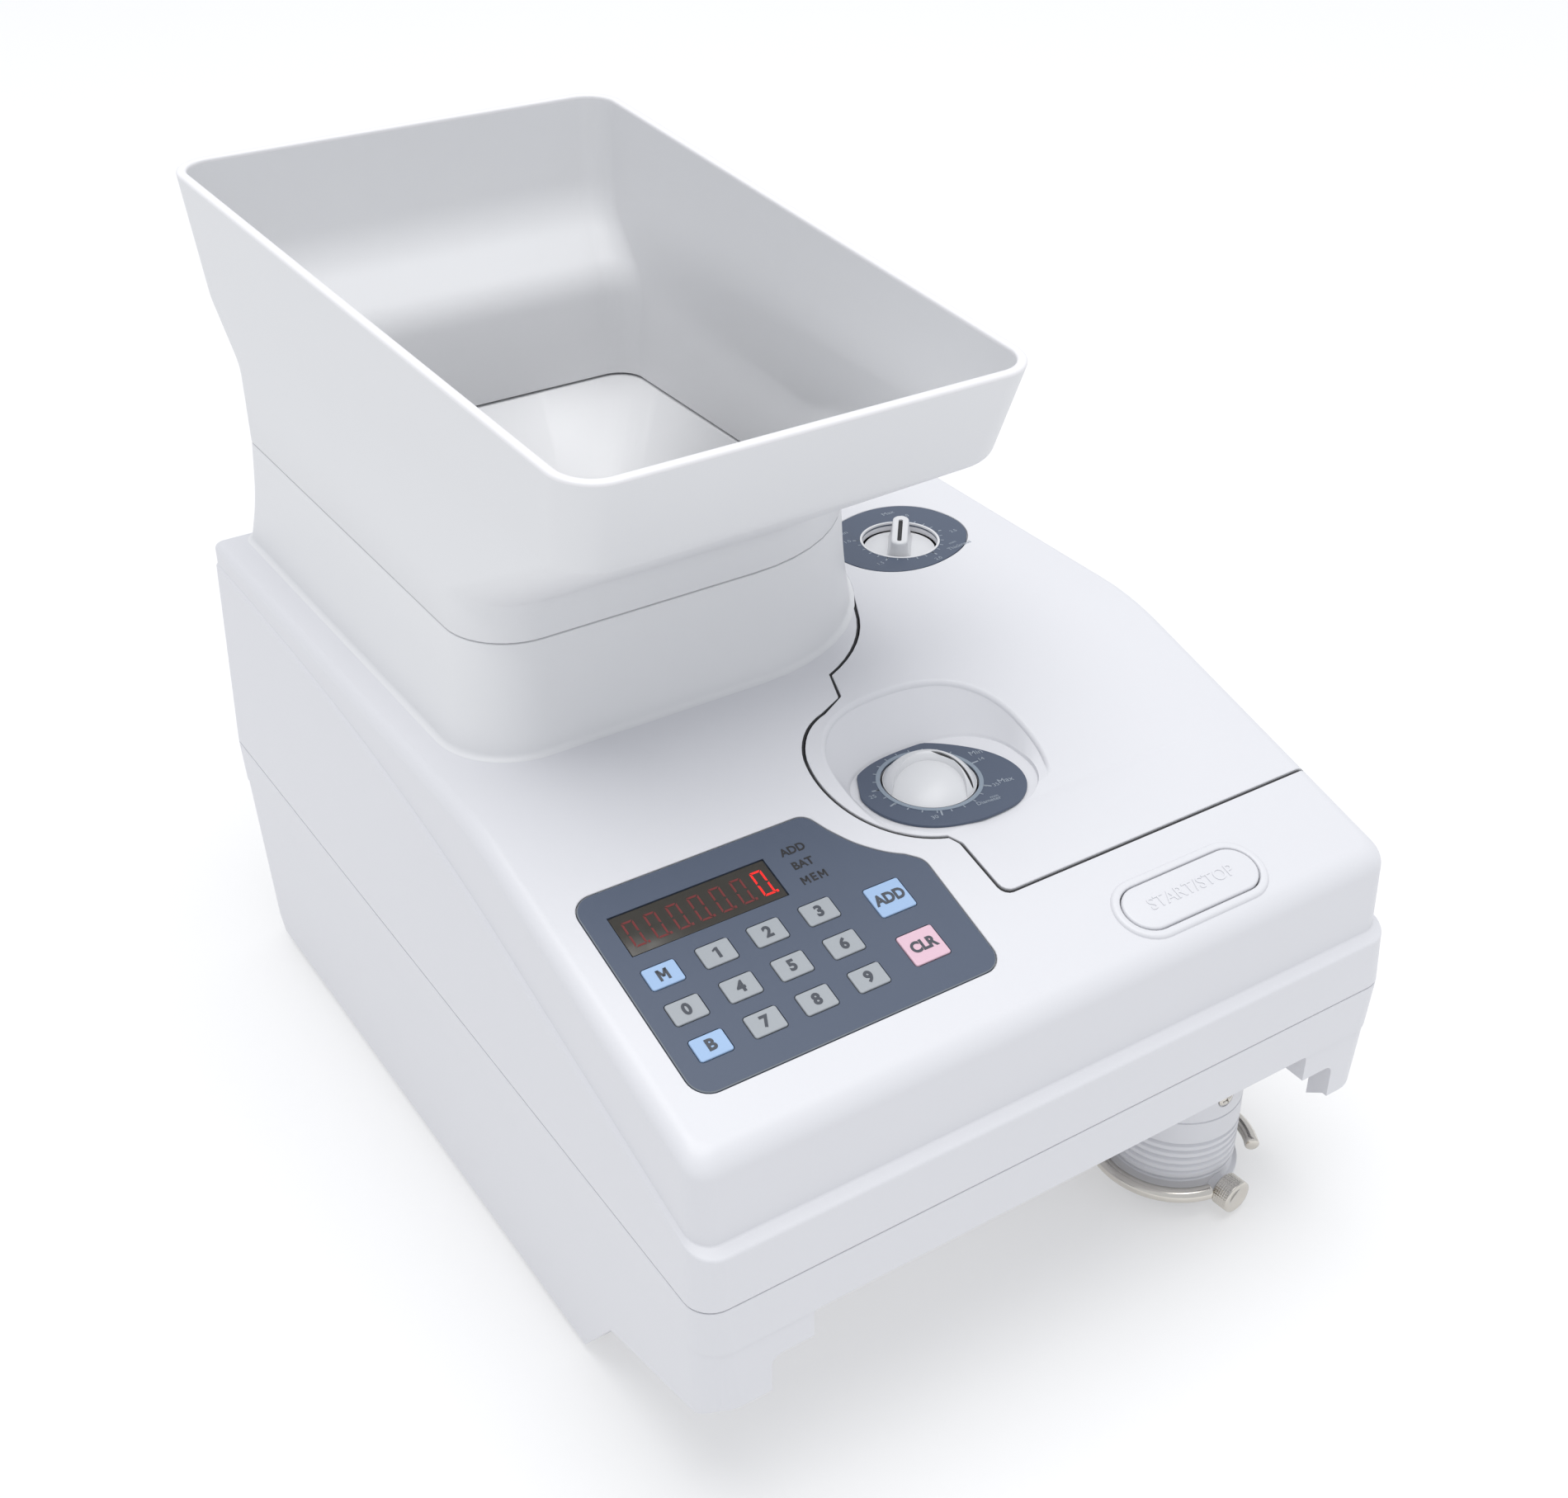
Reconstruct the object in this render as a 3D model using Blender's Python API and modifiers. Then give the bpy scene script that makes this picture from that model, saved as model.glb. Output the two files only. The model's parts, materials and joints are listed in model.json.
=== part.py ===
"""A portable coin counter: hopper tray on a collar, sloping front with keypad, dials and outlet tube.

Lengths are in millimetres in this file, measured from the front wall (y), the middle of the body (x)
and the surface the machine stands on (z). point() turns them into metres, with the origin under the
middle of the machine.
"""
import math

import bmesh
import bpy
from mathutils import Matrix, Vector

MM = 0.001
GAP = 0.3                                # between pieces that touch

# --- body -------------------------------------------------------------------------------------------
WIDTH = 240.0
BODY_DEPTH = 319.0
DEPTH = 335.0                            # front wall to the back of the hopper rim
SEAM_Z = 88.0                            # upper shell meets base
TOP_Z = 165.5                            # flat rear top
WALL = 2.8
CORNER_R = 8.0
REAR_CORNER_R = 6.0
SIDE_INSET = 2.3                         # inset of the upper wall at the front end of the sides
REAR_LEAN = 2.6                          # how far the wall leans in at the back, from seam to ledge
REAR_INSET = 3.2                         # inset of the upper wall at the back
REAR_EDGE_R = 2.4                        # rounding of the top edge at the back
BASE_DRAFT = 4.0                         # side walls lean in this much towards the feet
SLOPE_ANGLE = math.radians(15.88)        # front of the top
SLOPE = math.tan(SLOPE_ANGLE)
BEND_Y = 120.6                           # slope meets flat top
BEND_HALF = 13.0
LEDGE_Z = 104.5                          # ledge on the front wall, which climbs along the sides
EDGE_R = 5.5                             # rounding of the top edge
FRONT_FLOOR_Z = 72.0                     # underside of the raised front part
FRONT_FLOOR_END = 75.0                   # where the rear block starts
REAR_FLOOR_Z = 8.0                       # underside of the rear block
SKIRT_Z = 2.0                            # lower edge of the rear skirt
REAR_PANEL = (-98.0, 2.0, 20.0, 56.0)    # plate for the inlet, switch and fuse: left, right, lower, upper

# --- hopper -----------------------------------------------------------------------------------------
DISC_X = -28.5
DISC_Y = 222.0
THROAT_R = 61.5
COLLAR_TOP_Z = 200.2
TRAY_WALL = 3.0
RIM_FRONT = (84.0, 70.0, 271.8)          # y, half width, z
RIM_BACK = (335.0, 78.0, 285.4)

# --- controls ---------------------------------------------------------------------------------------
KEYPAD_Y = 22.0                          # lower edge of the keypad panel
DISPLAY = (-99.3, -51.3, 44.4, 58.2)     # window on the panel: left, right, lower, upper
KEY_SIZE = (9.7, 6.9)
BIG_KEY_SIZE = (11.3, 10.2)
KEY_COLUMNS = (-95.0, -79.0, -63.4, -47.2)
KEY_ROWS = (36.1, 24.1, 12.2)
KEY_NAMES = (("M", "1", "2", "3"), ("0", "4", "5", "6"), ("B", "7", "8", "9"))
BIG_KEYS = {"ADD": (-27.2, 31.9), "CLR": (-28.1, 14.6)}
BUTTON = (52.0, 19.8)
COVER_GAP = 1.0
DIAMETER_DIAL = (11.5, 87.0)
DIAMETER_KNOB_R = 13.6
THICKNESS_DIAL = (75.5, 190.4)
THICKNESS_HOLE_R = 12.6
BOWL = (15.2, 90.0)
BOWL_HALF = (31.8, 26.8)
BOWL_FLOOR = (15.0, 85.5)
BOWL_FLOOR_HALF = (27.5, 19.5)
BOWL_FLOOR_Z = 149.6
HINGE_Y = 301.5
HINGE_Z = 159.0

# --- mechanism --------------------------------------------------------------------------------------
DECK_Z = 118.0
DECK_TOP = 121.0
PULLEY_Z = 100.0
DISC_PULLEY_R = 34.0
MOTOR_PULLEY_R = 10.0
MOTOR = (60.0, 250.0)
TUBE = (80.0, 40.0)
TUBE_R = 20.5
TUBE_BORE_R = 18.0
TUBE_BOTTOM_Z = 5.0
RIBS = 6
RIBS_TOP_Z = 29.2
RIB_PITCH = 2.9
RING_Z = 11.2
RING_R = 24.7
RING_ROD_R = 2.35
RING_START = math.radians(-101.0)
RING_END = math.radians(-401.0)
CLAMP_Z = 8.4
CLAMP_ANGLE = math.radians(-85.0)
RAIL_X = 96.5                            # face of the fixed coin rail
COIN_WIDEST = 35.0                       # setting of the diameter dial at rest
COIN_THICKNESS = 1.6                     # setting of the thickness dial at rest

MATERIALS = {
    "shell_plastic": ((0.80, 0.81, 0.84), 0.38, 0.0),
    "hopper_plastic": ((0.74, 0.75, 0.77), 0.42, 0.0),
    "panel_print": ((0.09, 0.115, 0.175), 0.45, 0.0),
    "key_grey": ((0.48, 0.50, 0.53), 0.5, 0.0),
    "key_blue": ((0.42, 0.60, 0.87), 0.5, 0.0),
    "key_pink": ((0.90, 0.60, 0.71), 0.5, 0.0),
    "dark_window": ((0.05, 0.042, 0.035), 0.15, 0.0),
    "knob_plastic": ((0.78, 0.78, 0.79), 0.35, 0.0),
    "nickel": ((0.72, 0.69, 0.64), 0.18, 1.0),
    "steel": ((0.55, 0.56, 0.57), 0.35, 1.0),
    "aluminium": ((0.62, 0.63, 0.65), 0.4, 1.0),
    "rubber": ((0.03, 0.03, 0.032), 0.8, 0.0),
    "black_plastic": ((0.04, 0.04, 0.042), 0.45, 0.0),
    "circuit_board": ((0.03, 0.16, 0.07), 0.5, 0.0),
}

parts = None
cutters = None


# ====================================================================================================
# Coordinates and helpers
# ====================================================================================================
def point(x, y, z):
    """A place in the machine, as a vector in metres."""
    return Vector((x * MM, (y - DEPTH / 2) * MM, z * MM))


def blend(a, b, t):
    return a + (b - a) * t


def on_circle(centre, radius, angle):
    return centre[0] + radius * math.cos(angle), centre[1] + radius * math.sin(angle)


def outline(x0, x1, y0, y1, radii, arc_steps=4, side_steps=1):
    """Rounded rectangle: up the left side from the front, across the back, down the right side.

    radii run front-left, back-left, back-right, front-right. Point i faces point n-1-i.
    """
    corners = (
        (x0, y0, 1, 1, 1.5, 1.0),
        (x0, y1, 1, -1, 1.0, 0.5),
        (x1, y1, -1, -1, 0.5, 0.0),
        (x1, y0, -1, 1, 0.0, -0.5),
    )
    arcs = []
    for (cx, cy, sx, sy, start, end), radius in zip(corners, radii):
        centre = (cx + sx * radius, cy + sy * radius)
        arcs.append([on_circle(centre, radius, math.pi * blend(start, end, i / arc_steps))
                     for i in range(arc_steps + 1)])
    points = []
    for arc, following in ((arcs[0], arcs[1]), (arcs[2], arcs[3])):
        points += arc
        for i in range(1, side_steps):
            t = i / side_steps
            points.append((blend(arc[-1][0], following[0][0], t), blend(arc[-1][1], following[0][1], t)))
        points += following
    return points


def ring(points, height):
    """Lift a flat outline to a height, which may depend on y."""
    if callable(height):
        return [(x, y, height(y)) for x, y in points]
    return [(x, y, height) for x, y in points]


def material(name):
    """The Principled material of one finish."""
    found = bpy.data.materials.get(name)
    if found:
        return found
    colour, roughness, metallic = MATERIALS[name]
    made = bpy.data.materials.new(name)
    made.use_nodes = True
    shader = made.node_tree.nodes["Principled BSDF"]
    shader.inputs["Base Color"].default_value = (*colour, 1.0)
    shader.inputs["Roughness"].default_value = roughness
    shader.inputs["Metallic"].default_value = metallic
    return made


def add_object(name, mesh, finish=None):
    """Put a mesh in the machine, or among the cutters when it has no finish."""
    made = bpy.data.objects.new(name, mesh)
    if finish is None:
        cutters.objects.link(made)
        made.hide_render = True
        made.display_type = "WIRE"
    else:
        parts.objects.link(made)
        mesh.materials.append(material(finish))
    return made


def finish_mesh(name, bm, finish, smooth=None):
    """Turn a bmesh into an object whose faces point outwards."""
    bmesh.ops.recalc_face_normals(bm, faces=bm.faces)
    mesh = bpy.data.meshes.new(name)
    bm.to_mesh(mesh)
    bm.free()
    if smooth is not None:
        mesh.shade_smooth()
        mesh.set_sharp_from_angle(angle=math.radians(smooth))
    return add_object(name, mesh, finish)


def add_rings(bm, rings, frame=None):
    """Vertices of each ring; frame maps local millimetres to metres."""
    place = frame or point
    return [[bm.verts.new(place(*p)) for p in r] for r in rings]


def bridge(bm, lower, upper):
    n = len(lower)
    for i in range(n):
        bm.faces.new((lower[i], lower[(i + 1) % n], upper[(i + 1) % n], upper[i]))


def cap(bm, loop):
    """Close a ring with strips from side to side, so that a cap may bend along y."""
    n = len(loop)
    for i in range(n // 2 - 1):
        bm.faces.new((loop[i], loop[i + 1], loop[n - 2 - i], loop[n - 1 - i]))


def stack(name, rings, finish=None, smooth=None, frame=None):
    """A solid through a stack of rings, closed at both ends."""
    bm = bmesh.new()
    loops = add_rings(bm, rings, frame)
    for lower, upper in zip(loops, loops[1:]):
        bridge(bm, lower, upper)
    cap(bm, loops[0])
    cap(bm, loops[-1])
    return finish_mesh(name, bm, finish, smooth)


def cup(name, outer, inner, finish=None, smooth=None):
    """A shell: outer rings from its rim to its closed end, then inner rings from the rim likewise."""
    bm = bmesh.new()
    outside = add_rings(bm, outer)
    inside = add_rings(bm, inner)
    for side in (outside, inside):
        for lower, upper in zip(side, side[1:]):
            bridge(bm, lower, upper)
        cap(bm, side[-1])
    bridge(bm, outside[0], inside[0])
    return finish_mesh(name, bm, finish, smooth)


def sleeve(name, rings, finish=None, smooth=None, frame=None):
    """A body with a hole through it: the rings run up outside, down inside and back to the first."""
    bm = bmesh.new()
    loops = add_rings(bm, rings, frame)
    for lower, upper in zip(loops, loops[1:] + loops[:1]):
        bridge(bm, lower, upper)
    return finish_mesh(name, bm, finish, smooth)


def box(name, x, y, z, finish=None, frame=None):
    """A block between two limits on each axis."""
    bm = bmesh.new()
    bmesh.ops.create_cube(bm, size=1.0)
    place = frame or point
    for vert in bm.verts:
        u, v, w = vert.co
        vert.co = place(blend(x[0], x[1], u + 0.5), blend(y[0], y[1], v + 0.5), blend(z[0], z[1], w + 0.5))
    return finish_mesh(name, bm, finish)


def prism(name, points, z0, z1, finish=None, smooth=None, frame=None):
    """A flat outline of any shape pushed up from z0 to z1."""
    place = frame or point
    bm = bmesh.new()
    floor = bm.faces.new([bm.verts.new(place(*p)) for p in ring(points, z0)])
    pushed = bmesh.ops.extrude_face_region(bm, geom=[floor], use_keep_orig=True)["geom"]
    up = place(0, 0, z1) - place(0, 0, z0)
    bmesh.ops.translate(bm, verts=[g for g in pushed if isinstance(g, bmesh.types.BMVert)], vec=up)
    return finish_mesh(name, bm, finish, smooth)


def cylinder(name, x, y, z0, z1, radius, finish=None, steps=24, upper_radius=None):
    """An upright cylinder or cone between two heights."""
    top = radius if upper_radius is None else upper_radius
    bm = bmesh.new()
    bmesh.ops.create_cone(bm, cap_ends=True, segments=steps, radius1=radius * MM, radius2=top * MM,
                          depth=(z1 - z0) * MM)
    bmesh.ops.translate(bm, verts=bm.verts, vec=point(x, y, (z0 + z1) / 2))
    return finish_mesh(name, bm, finish, 40)


def turned(name, profile, centre, axis, finish, steps=24, closed=False):
    """A turned piece: (radius, height) points down the outer side, spun about an axis through centre."""
    mesh = bpy.data.meshes.new(name)
    verts = [(r * MM, 0.0, h * MM) for r, h in profile]
    edges = [(i, i + 1) for i in range(len(verts) - 1)]
    if closed:
        edges.append((len(verts) - 1, 0))
    mesh.from_pydata(verts, edges, [])
    made = add_object(name, mesh, finish)
    made.location = centre
    made.rotation_euler = Vector((0, 0, 1)).rotation_difference(Vector(axis)).to_euler()
    screw = made.modifiers.new("Turn", "SCREW")
    screw.steps = steps
    screw.render_steps = steps
    screw.use_merge_vertices = True
    screw.merge_threshold = 0.00001
    screw.use_smooth_shade = True
    return made


def boolean(target, tool, operation="DIFFERENCE"):
    modifier = target.modifiers.new(f"{operation.title()} {tool.name}", "BOOLEAN")
    modifier.operation = operation
    modifier.object = tool
    return modifier


def set_origin(made, place):
    """Move an object's origin to a joint's axis and leave its surface where it is."""
    made.data.transform(Matrix.Translation(-place))
    made.location = place


def slope_frame(x0, y0):
    """Local frame on the sloping front: u to the right, v up the slope, w out of the surface."""
    angle = math.atan(SLOPE)
    origin = point(x0, y0, surface_z(y0))

    def place(u, v, w):
        return origin + Vector((u, v * math.cos(angle) - w * math.sin(angle),
                                v * math.sin(angle) + w * math.cos(angle))) * MM
    return place


# ====================================================================================================
# Heights along the body
# ====================================================================================================
def surface_z(y):
    """Height of the plane of the sloping front."""
    return TOP_Z - (BEND_Y - y) * SLOPE


def top_z(y):
    """Height of the top: a slope, a soft bend and a flat."""
    if y >= BEND_Y + BEND_HALF:
        return TOP_Z
    if y <= BEND_Y - BEND_HALF:
        return surface_z(y)
    return TOP_Z - SLOPE * (BEND_Y + BEND_HALF - y) ** 2 / (4 * BEND_HALF)


def ledge_z(y):
    """Height of the ledge: it climbs with the slope, then levels out towards the back."""
    rise = 0.289
    start, end = 105.0, 300.0
    if y <= start:
        return LEDGE_Z + rise * y
    t = min((y - start) / (end - start), 1.0)
    begin_z, end_z = LEDGE_Z + rise * start, 157.0
    return ((2 * t ** 3 - 3 * t ** 2 + 1) * begin_z + (t ** 3 - 2 * t ** 2 + t) * (end - start) * rise
            + (3 * t ** 2 - 2 * t ** 3) * end_z + (t ** 3 - t ** 2) * (end - start) * 0.02)


def body_outline(inset):
    """Plan of the body, drawn in from its widest line by an inset.

    Three insets hold for the front wall, for the front end of the sides, and for the back.
    """
    front, side, rear = inset if isinstance(inset, tuple) else (inset,) * 3
    near, far = max(CORNER_R - front * 0.3, 3.0), max(REAR_CORNER_R - rear, 2.5)
    half = WIDTH / 2 - side
    plan = outline(-half, half, front, BODY_DEPTH - rear, (near, far, far, near), 3, 22)
    return [(x * (1 + (side - rear) / BODY_DEPTH * y / half), y) for x, y in plan]


def below(height, front, rear):
    """A height lowered by one amount in front and another at the back."""
    return lambda y: height(y) - blend(front, rear, y / BODY_DEPTH)


def above(height, rise):
    return lambda y: height(y) + rise


# ====================================================================================================
# Shared shapes
# ====================================================================================================
def tube_along(name, path, radius, finish, steps=12):
    """A round bar bent along a path of places."""
    bm = bmesh.new()
    places = [point(*p) for p in path]
    loops = []
    for i, place in enumerate(places):
        ahead = (places[min(i + 1, len(places) - 1)] - places[max(i - 1, 0)]).normalized()
        side = ahead.cross(Vector((0, 0, 1))).normalized()
        over = side.cross(ahead)
        loops.append([bm.verts.new(place + (side * math.cos(a) + over * math.sin(a)) * radius * MM)
                      for a in (math.tau * k / steps for k in range(steps))])
    for lower, upper in zip(loops, loops[1:]):
        bridge(bm, lower, upper)
    bm.faces.new(loops[0])
    bm.faces.new(loops[-1])
    return finish_mesh(name, bm, finish, 50)


def rod(name, start, end, radius, finish=None, steps=16):
    """A straight round bar between two places."""
    a, b = point(*start), point(*end)
    bm = bmesh.new()
    bmesh.ops.create_cone(bm, cap_ends=True, segments=steps, radius1=radius * MM, radius2=radius * MM,
                          depth=(b - a).length)
    turn = Vector((0, 0, 1)).rotation_difference((b - a).normalized()).to_matrix().to_4x4()
    bmesh.ops.transform(bm, matrix=Matrix.Translation((a + b) / 2) @ turn, verts=bm.verts)
    return finish_mesh(name, bm, finish, 40)


def ball(name, centre, radius, steps=32):
    """A round cutter."""
    bm = bmesh.new()
    bmesh.ops.create_uvsphere(bm, u_segments=steps, v_segments=steps // 2, radius=radius * MM)
    bmesh.ops.translate(bm, verts=bm.verts, vec=point(*centre))
    return finish_mesh(name, bm, None)


def boxes(name, limits, frame=None):
    """Several separate blocks in one cutter; each is (x, y, z) limits."""
    bm = bmesh.new()
    place = frame or point
    for x, y, z in limits:
        made = bmesh.ops.create_cube(bm, size=1.0)["verts"]
        for vert in made:
            u, v, w = vert.co
            vert.co = place(blend(x[0], x[1], u + 0.5), blend(y[0], y[1], v + 0.5),
                            blend(z[0], z[1], w + 0.5))
    return finish_mesh(name, bm, None)


def fillet(points, radii, steps=4):
    """Round the corners of a polygon; a radius of 0 keeps a corner sharp."""
    rounded = []
    for i, (corner, radius) in enumerate(zip(points, radii)):
        if radius == 0:
            rounded.append(corner)
            continue
        here = Vector(corner)
        back = (Vector(points[i - 1]) - here).normalized()
        ahead = (Vector(points[(i + 1) % len(points)]) - here).normalized()
        half = back.angle(ahead) / 2
        centre = here + (back + ahead).normalized() * radius / math.sin(half)
        start = here + back * radius / math.tan(half) - centre
        turn = math.pi - 2 * half
        if back.x * ahead.y - back.y * ahead.x > 0:
            turn = -turn
        for k in range(steps + 1):
            a = turn * k / steps
            rounded.append((centre.x + start.x * math.cos(a) - start.y * math.sin(a),
                            centre.y + start.x * math.sin(a) + start.y * math.cos(a)))
    return rounded


def obround(half_length, radius, steps=8):
    """Outline with two straight sides and two round ends, along u."""
    reach = half_length - radius
    points = []
    for side in (1, -1):
        points += [on_circle((side * reach, 0), radius, math.radians((0 if side == 1 else 180) - 90
                                                                    + 180 * i / steps))
                   for i in range(steps + 1)]
    return points


def superellipse(centre, half_x, half_y, power, steps, turn=0.0):
    """Closed oval whose sides are squarer as the power rises above 2."""
    points = []
    for i in range(steps):
        a = math.tau * i / steps
        c, s = math.cos(a), math.sin(a)
        u = half_x * math.copysign(abs(c) ** (2 / power), c)
        v = half_y * math.copysign(abs(s) ** (2 / power), s)
        points.append((centre[0] + u * math.cos(turn) - v * math.sin(turn),
                       centre[1] + u * math.sin(turn) + v * math.cos(turn)))
    return points


# ====================================================================================================
# Casing
# ====================================================================================================
def upper_rings():
    """Outside of the upper shell from the seam to the top, and its inside."""
    outer = [
        ring(body_outline(0.0), SEAM_Z + GAP / 2),
        ring(body_outline((0.8, 0.8, REAR_LEAN)), ledge_z),
        ring(body_outline((3.8, 2.0, REAR_LEAN + 0.5)), below(ledge_z, -2.0, -0.6)),
        ring(body_outline((5.2, SIDE_INSET, REAR_INSET)), below(top_z, EDGE_R, REAR_EDGE_R)),
    ]
    for angle in (math.radians(35), math.radians(65), math.radians(90)):
        aside, down = 1 - math.cos(angle), 1 - math.sin(angle)
        outer.append(ring(body_outline((5.2 + EDGE_R * aside, SIDE_INSET + EDGE_R * aside,
                                        REAR_INSET + REAR_EDGE_R * aside)),
                          below(top_z, EDGE_R * down, REAR_EDGE_R * down)))
    inner = [
        ring(body_outline(WALL), SEAM_Z + GAP / 2),
        ring(body_outline((WALL + 0.8, WALL + 0.8, WALL + REAR_LEAN)), above(ledge_z, -1.5)),
        ring(body_outline((WALL + 3.8, WALL + 1.9, WALL + REAR_LEAN + 0.3)), below(ledge_z, -0.6, 0.8)),
        ring(body_outline((WALL + 5.2, WALL + SIDE_INSET, WALL + REAR_INSET)), below(top_z, EDGE_R, 4.2)),
        ring(body_outline((WALL + 7.6, WALL + SIDE_INSET + 2.4, WALL + REAR_INSET + 1.2)), above(top_z, -WALL)),
    ]
    return outer, inner


def cover_outline(grow):
    """Plan of the coin path cover; the gap line grows it on the sides that meet the upper shell."""
    front = 41.2 - grow
    points = [(126.0, front), (5.4 - grow, front), (3.0 - grow, 44.4 - grow), (3.6 - grow, 60.0)]
    steps = 10
    for i in range(steps + 1):
        t = i / steps
        radius = blend(30.8, 26.6, max(0.0, (t - 0.75) / 0.25)) + grow
        points.append(on_circle((9.0, 93.5), radius, math.radians(blend(-106, -237, t))))
    points.append((3.4 - grow, 120.3))
    points += [on_circle((-17.0, 184.5), 59.1 - grow, math.radians(a)) for a in (-66, -53, -40, -28)]
    points += [on_circle((-12.0, 199.3), 61.7 - grow, math.radians(a)) for a in (-32, -20, -10, 0)]
    back = 298.5 + 2.6 * grow            # wider at the hinge, so that the cover can tip up
    points += [(49.7 - grow, back), (126.0, back)]
    return points


def cover_zone(name, grow):
    """The space above the ledge that belongs to the cover."""
    zone = prism(name, cover_outline(grow), 100.0, 190.0)
    plan = outline(-130, 130, -10, 330, (2,) * 4, 1, 24)
    over = stack(name + "_ledge", [ring(plan, above(ledge_z, 2.6 - grow)), ring(plan, 210.0)])
    boolean(zone, over, "INTERSECT")
    return zone


def make_upper_shell():
    shell = cup("upper_shell", *upper_rings(), "shell_plastic", 30)
    boolean(shell, cover_zone("cover_opening", COVER_GAP))
    boolean(shell, cylinder("throat_opening", DISC_X, DISC_Y, 150, 175, THROAT_R + 3.0, steps=40))
    panel = slope_frame(0, KEYPAD_Y)
    boolean(shell, prism("keypad_recess", keypad_outline(GAP), -1.5, 8.0, frame=panel))
    left, right, lower, upper = DISPLAY
    boolean(shell, box("display_opening", (left + 1, right - 1), (lower + 1, upper - 1), (-9, 5),
                       frame=panel))
    boolean(shell, prism("button_opening", obround(23.7, 7.9), -9, 5, frame=slope_frame(*BUTTON)))
    boolean(shell, box("hinge_lug", (70, 92), (298.8, 309.0), (156.0, 162.3)), "UNION")
    boolean(shell, box("hinge_lug_top", (70, 92), (302.0, 309.0), (160.0, 164.0)), "UNION")
    bore = rod("lug_bore", (60, HINGE_Y, HINGE_Z), (100, HINGE_Y, HINGE_Z), 1.6)
    boolean(shell, bore)


def make_cover():
    """Hinged cover over the coin path, with the bowl of the diameter dial sunk into it."""
    outer, inner = upper_rings()
    cover = cup("coin_path_cover", outer, inner, "shell_plastic", 30)
    boolean(cover, cover_zone("cover_space", 0.0), "INTERSECT")
    bowl = prism("bowl_wall", bowl_outline(1.0, 3.0), BOWL_FLOOR_Z - WALL, 172)
    boolean(bowl, stack("under_top", [ring(body_outline(6.0), 100.0), ring(body_outline(6.0), above(top_z, -0.9))]),
            "INTERSECT")
    boolean(bowl, prism("bowl_limit", cover_outline(-0.2), 100, 190), "INTERSECT")
    boolean(cover, bowl, "UNION")
    hollow = stack("bowl_hollow", [ring(bowl_floor(), BOWL_FLOOR_Z), ring(bowl_outline(1.0), TOP_Z - 1.5),
                                   ring(bowl_outline(1.03), 175)])
    boolean(cover, hollow)
    boolean(cover, cylinder("diameter_hole", *DIAMETER_DIAL, 130, 170, DIAMETER_KNOB_R + 0.7, steps=32))
    boolean(cover, cylinder("thickness_hole", *THICKNESS_DIAL, 150, 180, THICKNESS_HOLE_R, steps=32))
    boolean(cover, prism("thickness_recess", thickness_plate_outline(GAP), TOP_Z - 1.1, 175))
    swing_room = [(40.0, 134.0), (41.2, 134.0), (43.8, 115.0), (40.0, 115.0)]
    boolean(cover, prism("swing_relief", swing_room, 111, 126, frame=lambda y, z, x: point(x, y, z)))
    for index, x in enumerate((61.0, 101.0)):
        block = box(f"knuckle_block_{index}", (x - 6, x + 6), (290.0, 298.2), (156.0, 164.0))
        web = box(f"knuckle_web_{index}", (x - 6, x + 6), (296.0, HINGE_Y), (156.0, 162.0))
        barrel = rod(f"knuckle_{index}", (x - 6, HINGE_Y, HINGE_Z), (x + 6, HINGE_Y, HINGE_Z), 3.0)
        for piece in (block, web, barrel):
            boolean(cover, piece, "UNION")
    boolean(cover, rod("hinge_bore", (40, HINGE_Y, HINGE_Z), (112, HINGE_Y, HINGE_Z), 1.6))
    set_origin(cover, point(0, HINGE_Y, HINGE_Z))
    rod("cover_hinge_pin", (54, HINGE_Y, HINGE_Z), (108, HINGE_Y, HINGE_Z), 1.3, "steel", 12)


def bowl_outline(scale, grow=0.0, steps=36):
    """Oval of the dial bowl, longer towards the front, where it runs out of the slope."""
    oval = superellipse(BOWL, BOWL_HALF[0] * scale + grow, BOWL_HALF[1] * scale + grow, 2.4, steps)
    return [(x, y if y > BOWL[1] else BOWL[1] + (y - BOWL[1]) * 1.16) for x, y in oval]


def bowl_floor(grow=0.0, steps=36):
    """Oval of the bowl's level floor, which its drafted wall runs down to."""
    oval = superellipse(BOWL_FLOOR, BOWL_FLOOR_HALF[0] + grow, BOWL_FLOOR_HALF[1] + grow, 2.5, steps)
    return [(x, y if y > BOWL_FLOOR[1] else BOWL_FLOOR[1] + (y - BOWL_FLOOR[1]) * 1.16) for x, y in oval]


def base_plan(inset, z):
    """Plan of the base at a height; its sides lean in towards the feet and its ends stand straight."""
    lean = BASE_DRAFT * (SEAM_Z - z) / (SEAM_Z - SKIRT_Z)
    half = WIDTH / 2 - lean - inset
    near, far = CORNER_R + lean * 1.3 - inset, REAR_CORNER_R - inset
    return ring(outline(-half, half, inset, BODY_DEPTH - inset, (near, far, far, near), 3, 6), z)


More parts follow.
